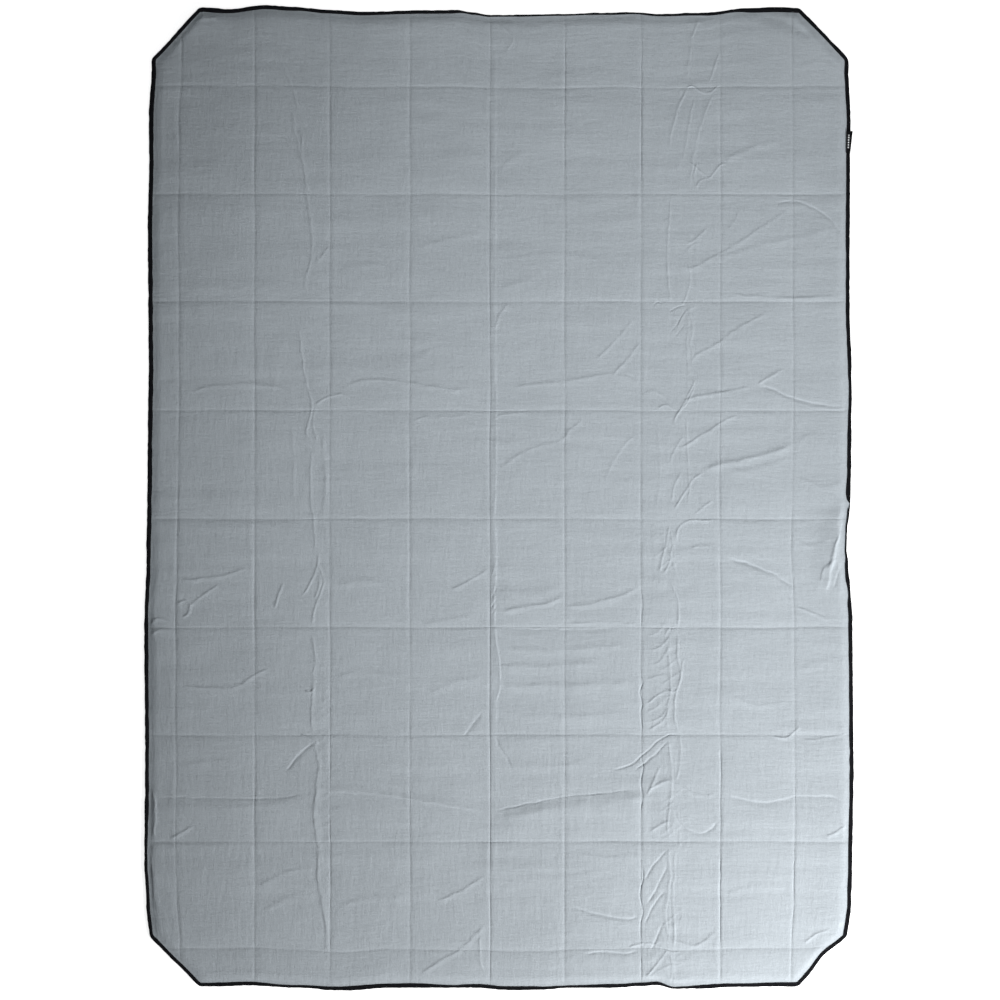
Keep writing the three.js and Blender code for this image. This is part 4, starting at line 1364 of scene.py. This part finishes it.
def make_label_pieces(materials):
    label = make_label()
    dress(label, materials["label_ribbon"])
    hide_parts("loop_label")
    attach(label, "label")
    tack = make_label_tack()
    dress(tack, materials["sewing_thread"])
    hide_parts("label_stitch")
    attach(tack, "right_flap")


# ---------------------------------------------------------------- floor and light


FLOOR_PROFILE = [(0.01, 0), (4, 0), (11, 0)]
BACKDROP_PROFILE = [(11, 0), (12.4, 0.2), (13.5, 0.8), (14, 1.8), (14, 3.4)]


def make_round(name, profile, colour, glow):
    """A pale surface turned round the blanket. It glows enough of itself to stay white, which
    also hides most of the blanket's shadow."""
    turns = np.linspace(0, 2 * math.pi, 72, endpoint=False)
    points = [(r * math.cos(t), r * math.sin(t), z) for r, z in profile for t in turns]
    count = len(turns)
    ring = np.arange(count)
    bands = np.arange(len(profile) - 1)[:, None] * count
    after = (ring + 1) % count
    corners = (bands + ring, bands + count + ring, bands + count + after, bands + after)
    thing = make_object(name, points, np.stack(corners, 2).reshape(-1, 4))
    n = Nodes(name + "_paper")
    n.shader.inputs["Base Color"].default_value = (*colour, 1)
    n.shader.inputs["Roughness"].default_value = 0.9
    n.shader.inputs["Specular IOR Level"].default_value = 0.1
    n.shader.inputs["Emission Color"].default_value = (*colour, 1)
    n.shader.inputs["Emission Strength"].default_value = glow
    thing.data.materials.append(n.material)


def make_light(name, place, aim, size, power, colour):
    """A round soft lamp at a place, turned to face its aim."""
    data = bpy.data.lights.new(name, "AREA")
    data.shape = "DISK"
    data.size = size
    data.energy = power
    data.color = colour
    lamp = bpy.data.objects.new(name, data)
    lamp.location = place
    direction = np.array(aim, float) - np.array(place, float)
    across = math.atan2(direction[1], direction[0])
    down = math.acos(-direction[2] / np.linalg.norm(direction))
    lamp.rotation_euler = (down, 0, across - math.pi / 2)
    lamp.visible_camera = False
    bpy.context.scene.collection.objects.link(lamp)


def make_stage():
    make_round("floor", FLOOR_PROFILE, (0.9, 0.9, 0.9), 0.94)
    make_round("backdrop", BACKDROP_PROFILE, (0.6, 0.63, 0.65), 0.62)
    make_light("key", (1.75, -2.05, 1.05), (-0.2, 0.2, 0), 0.45, 117, (1, 0.995, 0.985))
    make_light("overhead", (0.30, 0.30, 0.60), (0.28, 0.29, 0), 1.7, 4.75, (0.99, 1, 1))
    world = bpy.data.worlds.new("studio")
    world.use_nodes = True
    world.node_tree.nodes["Background"].inputs["Color"].default_value = (0.85, 1, 1.1, 1)
    world.node_tree.nodes["Background"].inputs["Strength"].default_value = 0.012
    bpy.context.scene.world = world
    bpy.context.scene.view_settings.view_transform = "Standard"


make_camera()
make_layers({
    "face_cloth": woven_cloth("face_weave", FACE_COLOUR),
    "backing_cloth": woven_cloth("backing_weave", BACKING_COLOUR),
    "interlining": felt_cloth("felt", FELT_COLOUR),
    "binding_tape": twill_tape("tape_twill", TAPE_COLOUR),
    "sewing_thread": spun_thread("black_thread", THREAD_COLOUR),
})
make_label_pieces({
    "label_ribbon": make_label_material("ribbon", RIBBON_COLOUR, YARN_COLOUR),
    "sewing_thread": bpy.data.materials["black_thread"],
})
make_stage()
